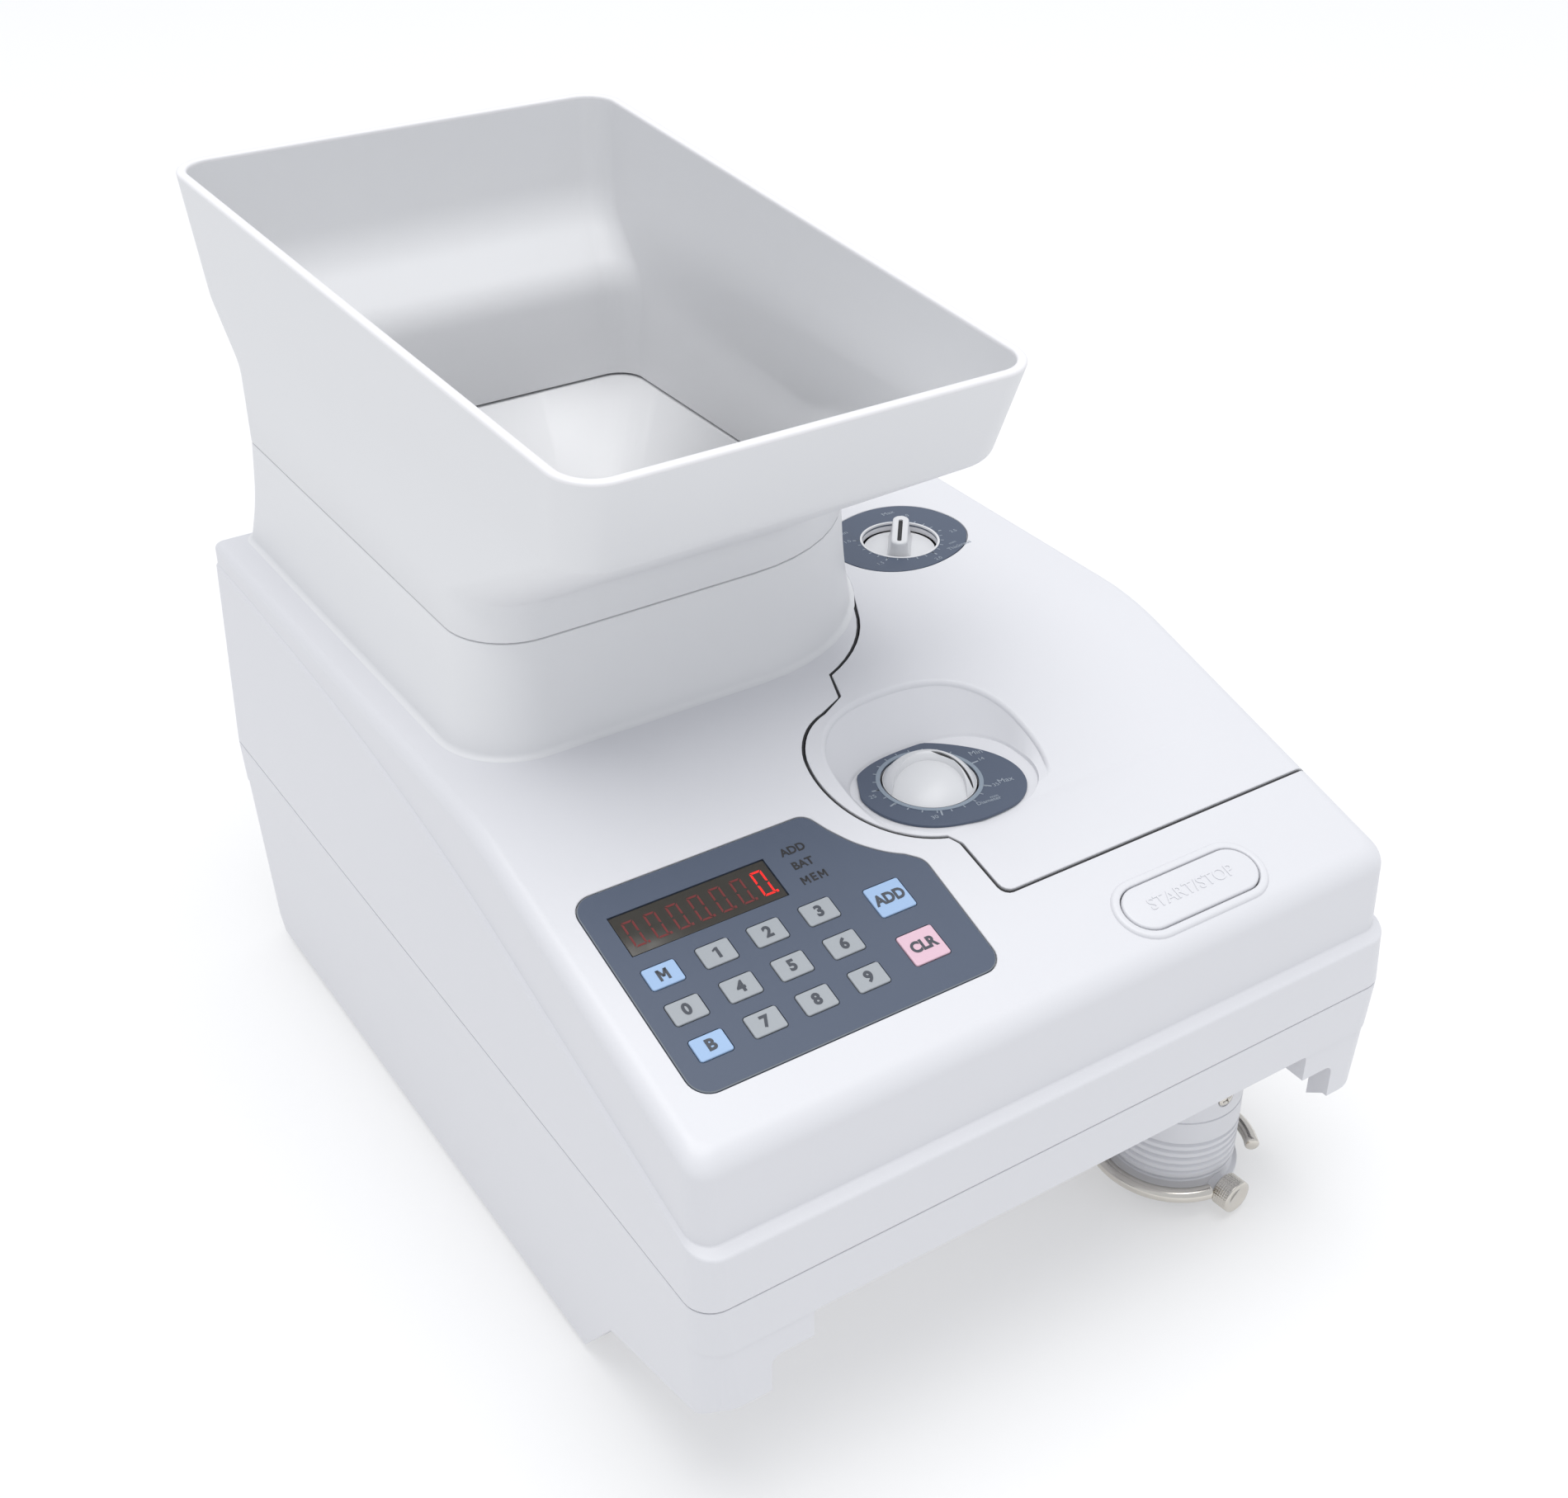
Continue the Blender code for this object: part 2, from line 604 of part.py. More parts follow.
def make_base():
    """Base: a raised front part on skirts and a rear block that stands on the feet."""
    top = SEAM_Z - GAP / 2
    base = stack("base_shell", [base_plan(0, SKIRT_Z), base_plan(0, top)], "shell_plastic", 30)
    side_view = [(-10, -5), (-10, 49.5), (1.0, 49.5), (8, 45), (56, 30), (74, 6), (78, SKIRT_Z),
                 (308, SKIRT_Z), (314, 10), (330, 14), (330, -5)]
    boolean(base, prism("side_relief", side_view, -130, 130, frame=lambda y, z, x: point(x, y, z)))
    boolean(base, stack("front_room", [base_plan(WALL, FRONT_FLOOR_Z + WALL), base_plan(WALL, 95)]))
    half = WIDTH / 2 - BASE_DRAFT - WALL
    floor = REAR_FLOOR_Z + WALL
    rear = [ring(outline(-half, half, FRONT_FLOOR_END + WALL, BODY_DEPTH - WALL, (8,) * 4, 3, 6), floor),
            ring(outline(-half - 3, half + 3, FRONT_FLOOR_END + WALL, BODY_DEPTH - WALL, (8,) * 4, 3, 6),
                 FRONT_FLOOR_Z + WALL + 1)]
    boolean(base, stack("rear_room", rear))
    under = {
        "under_front_middle": ((-86, 90), (-5, 20), (-5, FRONT_FLOOR_Z)),
        "under_front_step": ((-99, 102.6), (-5, 20), (-5, 62)),
        "under_front": ((-half, half), (8, FRONT_FLOOR_END), (-5, FRONT_FLOOR_Z)),
        "under_rear": ((-half, half), (FRONT_FLOOR_END + 6, 305), (-5, REAR_FLOOR_Z)),
    }
    for name, limits in under.items():
        boolean(base, box(name, *limits))
    boolean(base, cylinder("tube_hole", *TUBE, 60, 90, TUBE_R + 0.8, steps=32))
    for index, (x, y) in enumerate(((-98, 92), (98, 92), (-98, 292), (98, 292))):
        boolean(base, cylinder(f"deck_post_{index}", x, y, REAR_FLOOR_Z + 1, DECK_Z - GAP, 5.0, steps=16),
                "UNION")
    left, right, lower, upper = REAR_PANEL
    boolean(base, box("rear_panel_opening", (left - GAP, right + GAP), (310, 325),
                      (lower - GAP, upper + GAP)))
    panel = box("rear_panel", (left, right), (BODY_DEPTH - WALL, BODY_DEPTH), (lower, upper),
                "shell_plastic")
    boolean(panel, boxes("rear_openings", [
        ((-89, -61), (310, 325), (28, 48)),
        ((-49, -29), (310, 325), (29, 43)),
        ((-17, -5), (310, 325), (30, 42)),
    ]))


def make_feet():
    for name, x, y in (("foot_front_left", -95, 98), ("foot_front_right", 95, 98),
                       ("foot_rear_left", -95, 292), ("foot_rear_right", 95, 292)):
        turned(name, [(0, REAR_FLOOR_Z - GAP), (9, REAR_FLOOR_Z - GAP), (8.4, 1.0), (7.4, 0), (0, 0)],
               point(x, y, 0), (0, 0, 1), "rubber", 20)


# ====================================================================================================
# Hopper
# ====================================================================================================
def collar_plan(flare, inset, z, side_steps=3):
    """Plan of the collar; flare 0 is its top and 1 its foot."""
    x0, x1 = blend(-101.0, -105.3, flare) + inset, blend(44.5, 48.0, flare) - inset
    y0, y1 = blend(141.5, 139.3, flare) + inset, blend(312.0, 313.0, flare) - inset
    radii = [max(r - inset, 2.0) for r in (20 + 2 * flare, 6, 15, 57 + 3 * flare)]
    return ring(outline(x0, x1, y0, y1, radii, 5, side_steps), z)


def tray_plan(front, back, inset, radius):
    """Plan of the tray between a front and a back edge given as (y, half width, z)."""
    (y0, half0, z0), (y1, half1, z1) = front, back
    middle = (half0 + half1) / 2
    flat = outline(-middle + inset, middle - inset, y0 + inset, y1 - inset, (radius,) * 4, 5, 3)
    points = []
    for x, y in flat:
        t = (y - y0) / (y1 - y0)
        points.append((DISC_X + x * blend(half0, half1, t) / middle, y, blend(z0, z1, t)))
    return points


def make_collar():
    foot = TOP_Z + GAP
    rings = [collar_plan(1.0, 0, foot), collar_plan(0.35, 0, 180), collar_plan(0, 0, COLLAR_TOP_Z),
             collar_plan(0, 3, COLLAR_TOP_Z), collar_plan(0.35, 3, 180), collar_plan(1.0, 3, foot)]
    sleeve("hopper_collar", rings, "hopper_plastic", 40)


def neck_tilt(front, back, y0=143.0, y1=300.0):
    return lambda y: blend(front, back, (y - y0) / (y1 - y0))


def lift(points, height):
    return [(x, y, height(y)) for x, y, z in points]


def make_tray():
    """Lift-off hopper tray: neck, sloping underside, flared walls and an open bottom."""
    seam = COLLAR_TOP_Z + GAP
    wall = TRAY_WALL
    corner = 13.0
    bottom_front, bottom_back = (92.5, 66.5, 243.5), (330.0, 75.0, 246.0)
    rings = [
        collar_plan(0, 0, seam),
        lift(collar_plan(0, 0, 0), neck_tilt(212.0, 226.0)),
        tray_plan(bottom_front, bottom_back, 0, corner),
        tray_plan(RIM_FRONT, RIM_BACK, 0, corner),
        tray_plan(RIM_FRONT, RIM_BACK, wall, corner - wall),
        lift_rings(tray_plan(bottom_front, bottom_back, wall, corner - wall), 3.2),
        lift(collar_plan(0, wall, 0), neck_tilt(214.5, 228.5)),
        collar_plan(0, 5.4, seam + 1.0),
        collar_plan(0, 5.4, seam - 6.0),
        collar_plan(0, 3.4, seam - 6.0),
        collar_plan(0, 3.4, seam),
    ]
    sleeve("hopper_tray", rings, "hopper_plastic", 25)


def lift_rings(points, rise):
    return [(x, y, z + rise) for x, y, z in points]


def on_ray(points, centre, angle):
    """Where a ray from the centre leaves a closed outline."""
    way = Vector((math.cos(angle), math.sin(angle)))
    for i, (x, y) in enumerate(points):
        a = Vector((points[i - 1][0] - centre[0], points[i - 1][1] - centre[1]))
        b = Vector((x - centre[0], y - centre[1]))
        spread = way.x * (b.y - a.y) - way.y * (b.x - a.x)
        if abs(spread) < 1e-9:
            continue
        t = (a.y * way.x - a.x * way.y) / -spread
        place = a + (b - a) * t
        if -1e-9 <= t <= 1 + 1e-9 and place.dot(way) > 0:
            return centre[0] + place.x, centre[1] + place.y
    raise ValueError("the centre lies outside the outline")


def make_funnel(steps=48):
    """Throat between the square collar and the round disc bowl."""
    angles = [math.tau * i / steps for i in range(steps)]
    centre = (DISC_X, DISC_Y)

    def square(inset, z):
        plan = [(x, y) for x, y, unused in collar_plan(0, inset, 0)]
        return ring([on_ray(plan, centre, a) for a in angles], z)

    def round_at(radius, z):
        return ring([on_circle(centre, radius, a) for a in angles], z)

    rings = [square(3.9, 193.5), round_at(THROAT_R + 2, 171), round_at(THROAT_R + 2, 158.8),
             round_at(THROAT_R, 158.8), round_at(THROAT_R, 170), square(5.9, 193.5)]
    sleeve("hopper_funnel", rings, "hopper_plastic", 40)


# ====================================================================================================
# Controls
# ====================================================================================================
def keypad_outline(grow=0.0):
    """Panel outline on the slope, with a scoop at its upper right for the dial bowl."""
    left, right = -106.5, -10.6
    lower, upper = 0.0, 65.5
    corners = [(left, lower), (right - 1.2, lower), (right, 38.0)]
    radii = [6, 6, 5]
    scoop = [(-14.5, 41.6), (-19.4, 45.2), (-25.2, 51.2), (-29.6, 58.4)]
    corners += scoop + [(-32.6, upper), (left, upper)]
    radii += [0] * len(scoop) + [4, 6]
    points = fillet(corners, radii, 4)
    if grow == 0.0:
        return points
    grown = []
    n = len(points)
    for i in range(n):
        before, after = Vector(points[i - 1]), Vector(points[(i + 1) % n])
        along = (after - before).normalized()
        grown.append(tuple(Vector(points[i]) + Vector((along.y, -along.x)) * grow))
    return grown


def key_places():
    """Every key: name, place on the panel, size and finish."""
    places = []
    for row, names in zip(KEY_ROWS, KEY_NAMES):
        for column, name in zip(KEY_COLUMNS, names):
            finish = "key_grey" if name.isdigit() else "key_blue"
            places.append((name, column, row, KEY_SIZE, finish))
    for (name, (u, v)), finish in zip(BIG_KEYS.items(), ("key_blue", "key_pink")):
        places.append((name, u, v, BIG_KEY_SIZE, finish))
    return places


def make_keypad():
    panel = slope_frame(0, KEYPAD_Y)
    plate = prism("keypad_panel", keypad_outline(), -1.2, 0.0, "panel_print", frame=panel)
    left, right, lower, upper = DISPLAY
    holes = [((left, right), (lower, upper), (-3, 3))]
    for name, u, v, (width, height), finish in key_places():
        half_u, half_v = width / 2, height / 2
        holes.append(((u - half_u - GAP, u + half_u + GAP), (v - half_v - GAP, v + half_v + GAP), (-3, 3)))
        cap_rings = [ring(outline(-half_u + inset, half_u - inset, -half_v + inset, half_v - inset,
                                  (1.0,) * 4, 1), w)
                     for inset, w in ((0.0, -1.0), (0.0, 0.15), (0.3, 0.35))]
        local = slope_frame(u, KEYPAD_Y + v * math.cos(SLOPE_ANGLE))
        key = stack("key_" + name, cap_rings, finish, None, local)
        set_origin(key, local(0, 0, 0))
    boolean(plate, boxes("panel_holes", holes, panel))
    box("display_window", (left + GAP, right - GAP), (lower + GAP, upper - GAP), (-1.1, -0.1),
        "dark_window", panel)
    board = box("keypad_board", (-106, -14), (4, 61), (-10.0, -8.4), "circuit_board", panel)
    module = box("digit_module", (left + 2, right - 2), (lower + 2, upper - 2), (-9.0, -1.5), None, panel)
    boolean(board, module, "UNION")


def make_start_button():
    local = slope_frame(*BUTTON)
    flange = obround(25.2, 8.9)
    cap_shape = obround(23.3, 7.5)
    rings = [ring(flange, -5.0), ring(flange, -3.2), ring(cap_shape, -3.2), ring(cap_shape, 0.5),
             ring(obround(22.5, 6.7), 1.1)]
    button = stack("start_stop_button", rings, "shell_plastic", 30, local)
    set_origin(button, local(0, 0, 0))
    switch = box("button_switch", (-9, 9), (-3.5, 3.5), (-14.5, -7.4), "black_plastic", local)
    arm = box("switch_arm", (9, 30), (-3.0, 3.0), (-14.5, -12.5), None, local)
    boolean(switch, arm, "UNION")


def diameter_plate_outline(grow=0.0, steps=40):
    """Round plate drawn out to a soft point on one side, and kept within the bowl's floor."""
    centre, turn = (10.6, 86.0), math.radians(-29.0)
    half_x, half_y = BOWL_FLOOR_HALF[0] - 0.6, BOWL_FLOOR_HALF[1] - 0.6
    points = []
    for i in range(steps):
        a = math.tau * i / steps
        radius = 21.2 + 7.0 * max(0.0, math.cos(a)) ** 3 + grow
        u, v = max(radius * math.cos(a), -20.4 - grow), radius * math.sin(a)
        x = centre[0] + u * math.cos(turn) - v * math.sin(turn) - BOWL_FLOOR[0]
        y = centre[1] + u * math.sin(turn) + v * math.cos(turn) - BOWL_FLOOR[1]
        reach = abs(x / half_x) ** 2.5 + abs(y / (half_y if y > 0 else half_y * 1.16)) ** 2.5
        inside = min(1.0, reach ** -0.4)
        points.append((BOWL_FLOOR[0] + x * inside, BOWL_FLOOR[1] + y * inside))
    return points


def thickness_plate_outline(grow=0.0, steps=40):
    """Oval plate, cut off beside the collar."""
    oval = superellipse((75.5, 192.2), 24.6 + grow, 21.4 + grow, 2.2, steps, math.radians(14))
    return [(max(x, 51.2 - grow), y) for x, y in oval]


def make_dials():
    floor = BOWL_FLOOR_Z + GAP / 2
    plate = prism("diameter_dial_plate", diameter_plate_outline(), floor, floor + 0.8, "panel_print")
    boolean(plate, cylinder("diameter_plate_hole", *DIAMETER_DIAL, 140, 160, DIAMETER_KNOB_R + 0.7,
                            steps=32))
    plate = prism("thickness_dial_plate", thickness_plate_outline(), TOP_Z - 0.9, TOP_Z, "panel_print")
    boolean(plate, cylinder("thickness_plate_hole", *THICKNESS_DIAL, 160, 170, THICKNESS_HOLE_R, steps=32))


def make_knobs():
    """Diameter knob, a dome scooped on one side; thickness knob, a disc with a finger bar."""
    x, y = DIAMETER_DIAL
    low = BOWL_FLOOR_Z - 1.0
    profile = [(0, low + 12.4), (5, low + 12.2), (9, low + 10.9), (11.8, low + 8.4), (13.2, low + 5.0),
               (DIAMETER_KNOB_R, low), (4, low - 2), (4, 112), (0, 112)]
    knob = turned("diameter_knob", profile, point(x, y, 0), (0, 0, 1), "knob_plastic", 28)
    scoop = ball("knob_scoop", (*on_circle((x, y), 9.0, math.radians(-118)), low + 26), 22.0)
    boolean(knob, scoop)

    x, y = THICKNESS_DIAL
    floor = TOP_Z - 4.5
    profile = [(0, floor), (11.6, floor), (11.6, floor - 2.5), (4, floor - 4), (4, 132.6), (0, 132.6)]
    knob = turned("thickness_knob", profile, point(x, y, 0), (0, 0, 1), "knob_plastic", 28)
    turn = math.radians(51)
    bar_plan = [(x + u * math.cos(turn) - v * math.sin(turn), y + u * math.sin(turn) + v * math.cos(turn))
                for u, v in obround(10.8, 3.3, 6)]
    bar = prism("finger_bar", bar_plan, floor - 1, floor + 9.0)
    boolean(knob, bar, "UNION")
    slot_plan = [(x + u * math.cos(turn) - v * math.sin(turn), y + u * math.sin(turn) + v * math.cos(turn))
                 for u, v in ((-9.4, -0.7), (2.0, -0.7), (2.0, 0.7), (-9.4, 0.7))]
    boolean(knob, prism("bar_slot", slot_plan, floor + 7.6, floor + 12))


# ====================================================================================================
# Coin path and drive
# ====================================================================================================
def make_deck():
    plan = fillet([(-108, 86), (-108, 300), (108, 300), (108, 26), (44, 26), (44, 86)],
                  (6, 6, 6, 6, 6, 12), 3)
    deck = prism("deck_plate", plan[::-1], DECK_Z, DECK_TOP, "steel")
    boolean(deck, cylinder("disc_clearance", DISC_X, DISC_Y, 110, 130, 13.0, steps=24))
    boolean(deck, cylinder("coin_drop", *TUBE, 110, 130, TUBE_BORE_R, steps=32))
    boolean(deck, boxes("deck_slot", [((-16, 44), (80, 93), (110, 130))]))
    x, y = THICKNESS_DIAL
    box("coin_rail", (RAIL_X, RAIL_X + 3), (24, 176), (DECK_TOP + GAP, DECK_TOP + 9), "steel")
    guide_x = RAIL_X - COIN_WIDEST
    guide = box("diameter_guide", (guide_x - 6, guide_x), (62, 150), (DECK_TOP + GAP, DECK_TOP + 6), "steel")
    rack_y = DIAMETER_DIAL[1] + 4.0 + GAP
    boolean(guide, box("guide_rack", (-10, guide_x - 3), (rack_y, rack_y + 5),
                       (DECK_TOP + 1.0, DECK_TOP + 5)), "UNION")
    sensor = box("count_sensor", (84, 105), (62, 74), (DECK_TOP + 11, DECK_TOP + 19), "black_plastic")
    boolean(sensor, box("sensor_foot", (RAIL_X + 3 + GAP, 105), (62, 74), (DECK_TOP + GAP, DECK_TOP + 12)),
            "UNION")
    bridge_z = DECK_TOP + 17
    carrier = box("gate_bridge", (x - 10, 106), (y - 7, y + 7), (bridge_z, bridge_z + 4), "aluminium")
    boolean(carrier, box("bridge_post", (100, 106), (y - 7, y + 7), (DECK_TOP + GAP, bridge_z + 1)), "UNION")
    boolean(carrier, cylinder("bridge_bore", x, y, 130, 150, 4.4, steps=20))
    box("thickness_gate", (x - 9, x + 14), (y - 6, y + 6), (DECK_TOP + COIN_THICKNESS + 0.4, 130.5), "steel")


def make_disc_drive():
    centre = point(DISC_X, DISC_Y, 0)
    up = (0, 0, 1)
    floor = DECK_TOP + GAP
    bowl = turned("disc_bowl", [(69, 158.3), (69, floor), (13, floor), (13, floor + 2.5), (66, floor + 2.5),
                                (66, 158.3)], centre, up, "aluminium", 40, closed=True)
    gate = box("coin_exit", (24, 60), (176, 214), (floor + 1.2, floor + 14))
    boolean(bowl, gate)
    turned("feed_disc", [(0, 139), (9, 138), (12, 133.5), (63.5, 133.5), (63.5, 128.5), (0, 128.5)],
           centre, up, "rubber", 40)
    turned("disc_shaft", [(0, 128.2), (5, 128.2), (5, 93), (0, 93)], centre, up, "steel", 16)
    turned("disc_bearing", [(12.2, 123.2), (12.2, 112), (5.3, 112), (5.3, 123.2)], centre, up, "steel", 20,
           closed=True)
    turned("disc_pulley", pulley_profile(DISC_PULLEY_R, 5.0 + GAP), centre, up, "aluminium", 32, closed=True)
    motor = point(*MOTOR, 0)
    turned("motor_pulley", [(0, PULLEY_Z + 4.5), (MOTOR_PULLEY_R + 1, PULLEY_Z + 4.5),
                            (MOTOR_PULLEY_R + 1, PULLEY_Z + 3.5), (MOTOR_PULLEY_R, PULLEY_Z + 3.2),
                            (MOTOR_PULLEY_R, PULLEY_Z - 3.2), (MOTOR_PULLEY_R + 1, PULLEY_Z - 3.5),
                            (MOTOR_PULLEY_R + 1, PULLEY_Z - 4.5), (3, PULLEY_Z - 4.5), (3, 91.8), (0, 91.8)],
           motor, up, "steel", 20)
    turned("drive_motor", [(0, 91.5), (6, 91.5), (6, 89), (22, 89), (22, 36), (20, 34), (0, 34)],
           motor, up, "steel", 28)
    x, y = MOTOR
    bracket = box("motor_bracket", (x - 27, x + 27), (y - 27, y + 27), (REAR_FLOOR_Z + WALL + GAP, 33.7),
                  "steel")
    boolean(bracket, box("bracket_hollow", (x - 24, x + 24), (y - 40, y + 40), (5, 30.5)))
    inner, outer = belt_outline(GAP), belt_outline(GAP + 1.6)
    rings = [ring(outer, PULLEY_Z - 3), ring(outer, PULLEY_Z + 3), ring(inner, PULLEY_Z + 3),
             ring(inner, PULLEY_Z - 3)]
    sleeve("drive_belt", rings, "rubber", 50)


def pulley_profile(radius, bore):
    return [(radius + 1, PULLEY_Z + 4.5), (radius + 1, PULLEY_Z + 3.5), (radius, PULLEY_Z + 3.2),
            (radius, PULLEY_Z - 3.2), (radius + 1, PULLEY_Z - 3.5), (radius + 1, PULLEY_Z - 4.5),
            (bore, PULLEY_Z - 4.5), (bore, PULLEY_Z + 4.5)]


def belt_outline(clear, steps=14):
    """Path round both pulleys, at a distance from their faces."""
    a, b = Vector((DISC_X, DISC_Y)), Vector(MOTOR)
    big, small = DISC_PULLEY_R + clear, MOTOR_PULLEY_R + clear
    along = math.atan2(b.y - a.y, b.x - a.x)
    lean = math.acos((big - small) / (b - a).length)
    points = [on_circle(a, big, along + blend(lean, math.tau - lean, i / steps)) for i in range(steps + 1)]
    points += [on_circle(b, small, along + blend(-lean, lean, i / steps)) for i in range(steps + 1)]
    return points


def make_outlet():
    """Bag tube under the raised front, with its wire clamp ring and thumb screw."""
    centre = point(*TUBE, 0)
    top = DECK_Z - GAP
    profile = [(TUBE_R, top), (TUBE_R, 38), (TUBE_R - 0.3, 37.7), (TUBE_R, 37.4)]
    for i in range(RIBS):
        z = RIBS_TOP_Z - RIB_PITCH * i
        profile += [(TUBE_R, z), (TUBE_R - 0.9, z - 0.5), (TUBE_R - 0.9, z - 0.9), (TUBE_R, z - 1.4)]
    profile += [(TUBE_R - 0.2, 14.0), (TUBE_R - 0.6, 8.5), (22, 8), (22, TUBE_BOTTOM_Z),
                (TUBE_BORE_R, TUBE_BOTTOM_Z), (TUBE_BORE_R, top)]
    tube = turned("bag_tube", profile, centre, (0, 0, 1), "shell_plastic", 32, closed=True)
    c, s = math.cos(CLAMP_ANGLE), math.sin(CLAMP_ANGLE)

    def reach(radius):
        return TUBE[0] + radius * c, TUBE[1] + radius * s, CLAMP_Z

    boolean(tube, rod("clamp_boss", reach(TUBE_R - 1.5), reach(22.9), 3.4, None, 20), "UNION")
    boolean(tube, rod("clamp_bore", reach(TUBE_BORE_R + 0.6), reach(30), 2.2, None, 16))

    path = []
    for i in range(33):
        a = blend(RING_START, RING_END, i / 32)
        flare = max(0.0, i / 32 - 0.85) / 0.15
        path.append((*on_circle(TUBE, RING_R + 1.6 * flare, a), RING_Z + 1.2 * flare))
    tube_along("bag_clamp_ring", path, RING_ROD_R, "nickel", 10)
    face = 22.9 + GAP
    turned("clamp_thumb_screw", [(0, face + 6.2), (5.2, face + 6.2), (5.6, face + 5.8), (5.6, face + 0.5),
                                 (5.2, face), (1.9, face), (1.9, TUBE_BORE_R + 0.9),
                                 (0, TUBE_BORE_R + 0.9)],
           point(*TUBE, CLAMP_Z), (c, s, 0), "nickel", 24)


# ====================================================================================================
# Electrics
# ====================================================================================================
def make_electrics():
    floor = REAR_FLOOR_Z + WALL
    board = box("control_board", (-104, -30), (102, 196), (floor + 4, floor + 5.6), "circuit_board")
    boolean(board, box("board_chips", (-92, -50), (110, 150), (floor + 5, floor + 11)), "UNION")
    boolean(board, boxes("board_feet", [((x - 3, x + 3), (y - 3, y + 3), (floor + GAP, floor + 4.5))
                                        for x in (-98, -36) for y in (108, 190)]), "UNION")
    supply = box("power_supply", (-100, -36), (208, 280), (floor + GAP, floor + 4), "steel")
    boolean(supply, box("supply_core", (-94, -42), (216, 272), (floor + 2, floor + 42)), "UNION")
    back = BODY_DEPTH + GAP
    inlet = box("power_inlet", (-92, -58), (back, back + 2.2), (25, 51), "black_plastic")
    boolean(inlet, box("inlet_body", (-88.7, -61.3), (BODY_DEPTH - 18, back + 1), (28.3, 47.7)), "UNION")
    boolean(inlet, box("inlet_socket", (-86.7, -63.3), (BODY_DEPTH - 15, back + 5), (30.3, 45.7)))
    frame = box("switch_frame", (-51, -27), (back, back + 2.0), (27, 45), "black_plastic")
    boolean(frame, box("switch_body", (-48.7, -29.3), (BODY_DEPTH - 16, back + 1), (29.3, 42.7)), "UNION")
    boolean(frame, box("rocker_room", (-47, -31), (BODY_DEPTH - 8, back + 5), (30.5, 41.5)))
    rocker_plan = [(back - 4.5, 33.5), (back - 4.5, 38.5), (back + 2.2, 40.5), (back + 3.0, 36.0),
                   (back + 2.2, 31.5)]
    rocker = prism("power_switch", rocker_plan, -46.6, -31.4, "black_plastic",
                   frame=lambda y, z, x: point(x, y, z))
    set_origin(rocker, point(-39, back - 2.0, 36))
    turned("fuse_cap", [(0, 4.5), (6.0, 4.5), (6.6, 4.0), (7.0, 0.0), (5.4, 0.0), (5.4, -14.0), (0, -14.0)],
           point(-11, back, 36), (0, 1, 0), "black_plastic", 20)


# ====================================================================================================
# The machine
# ====================================================================================================
def main():
    global parts, cutters
    for leftover in list(bpy.data.objects):
        bpy.data.objects.remove(leftover, do_unlink=True)
    parts = bpy.data.collections.new("coin_counter")
    cutters = bpy.data.collections.new("cutters")
    cutters.hide_render = True
    for collection in (parts, cutters):
        bpy.context.scene.collection.children.link(collection)
    make_base()
    make_upper_shell()
    make_cover()
    make_feet()
    make_collar()
    make_tray()
    make_funnel()
    make_keypad()
    make_start_button()
    make_dials()
    make_knobs()
    make_deck()
    make_disc_drive()
    make_outlet()
    make_electrics()


main()
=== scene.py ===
"""Looks of the portable coin counter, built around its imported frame.

Lengths are in millimetres, measured from the front wall (y), the middle of the body (x) and the
surface the machine stands on (z). point() turns them into metres in the frame's own coordinates.
"""

import json
import math

import bmesh
import bpy
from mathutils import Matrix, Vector

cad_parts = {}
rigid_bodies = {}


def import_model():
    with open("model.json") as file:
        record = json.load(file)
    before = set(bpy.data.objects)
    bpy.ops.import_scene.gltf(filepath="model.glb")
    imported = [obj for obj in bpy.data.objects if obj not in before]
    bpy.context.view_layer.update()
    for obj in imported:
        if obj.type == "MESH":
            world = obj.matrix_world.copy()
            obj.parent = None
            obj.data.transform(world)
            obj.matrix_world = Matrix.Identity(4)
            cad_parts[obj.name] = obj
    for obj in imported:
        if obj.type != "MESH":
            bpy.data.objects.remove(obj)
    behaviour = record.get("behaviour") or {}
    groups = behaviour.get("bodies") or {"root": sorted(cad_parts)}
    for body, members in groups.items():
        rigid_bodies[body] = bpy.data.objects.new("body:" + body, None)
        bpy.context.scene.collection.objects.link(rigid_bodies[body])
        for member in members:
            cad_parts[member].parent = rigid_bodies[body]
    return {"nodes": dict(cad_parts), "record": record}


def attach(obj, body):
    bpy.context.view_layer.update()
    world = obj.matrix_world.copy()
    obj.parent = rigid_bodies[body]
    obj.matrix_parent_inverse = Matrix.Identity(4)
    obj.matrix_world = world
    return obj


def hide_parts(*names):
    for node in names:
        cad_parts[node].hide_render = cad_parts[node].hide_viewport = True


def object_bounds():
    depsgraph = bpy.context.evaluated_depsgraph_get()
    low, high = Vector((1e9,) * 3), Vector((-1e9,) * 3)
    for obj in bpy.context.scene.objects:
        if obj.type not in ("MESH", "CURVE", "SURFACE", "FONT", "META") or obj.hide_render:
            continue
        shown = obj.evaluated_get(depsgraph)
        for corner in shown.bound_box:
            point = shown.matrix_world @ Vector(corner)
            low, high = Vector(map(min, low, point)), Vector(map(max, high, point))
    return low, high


for leftover in list(bpy.data.objects):
    bpy.data.objects.remove(leftover, do_unlink=True)
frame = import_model()
cad_low, cad_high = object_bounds()

MM = 0.001
GAP = 0.3

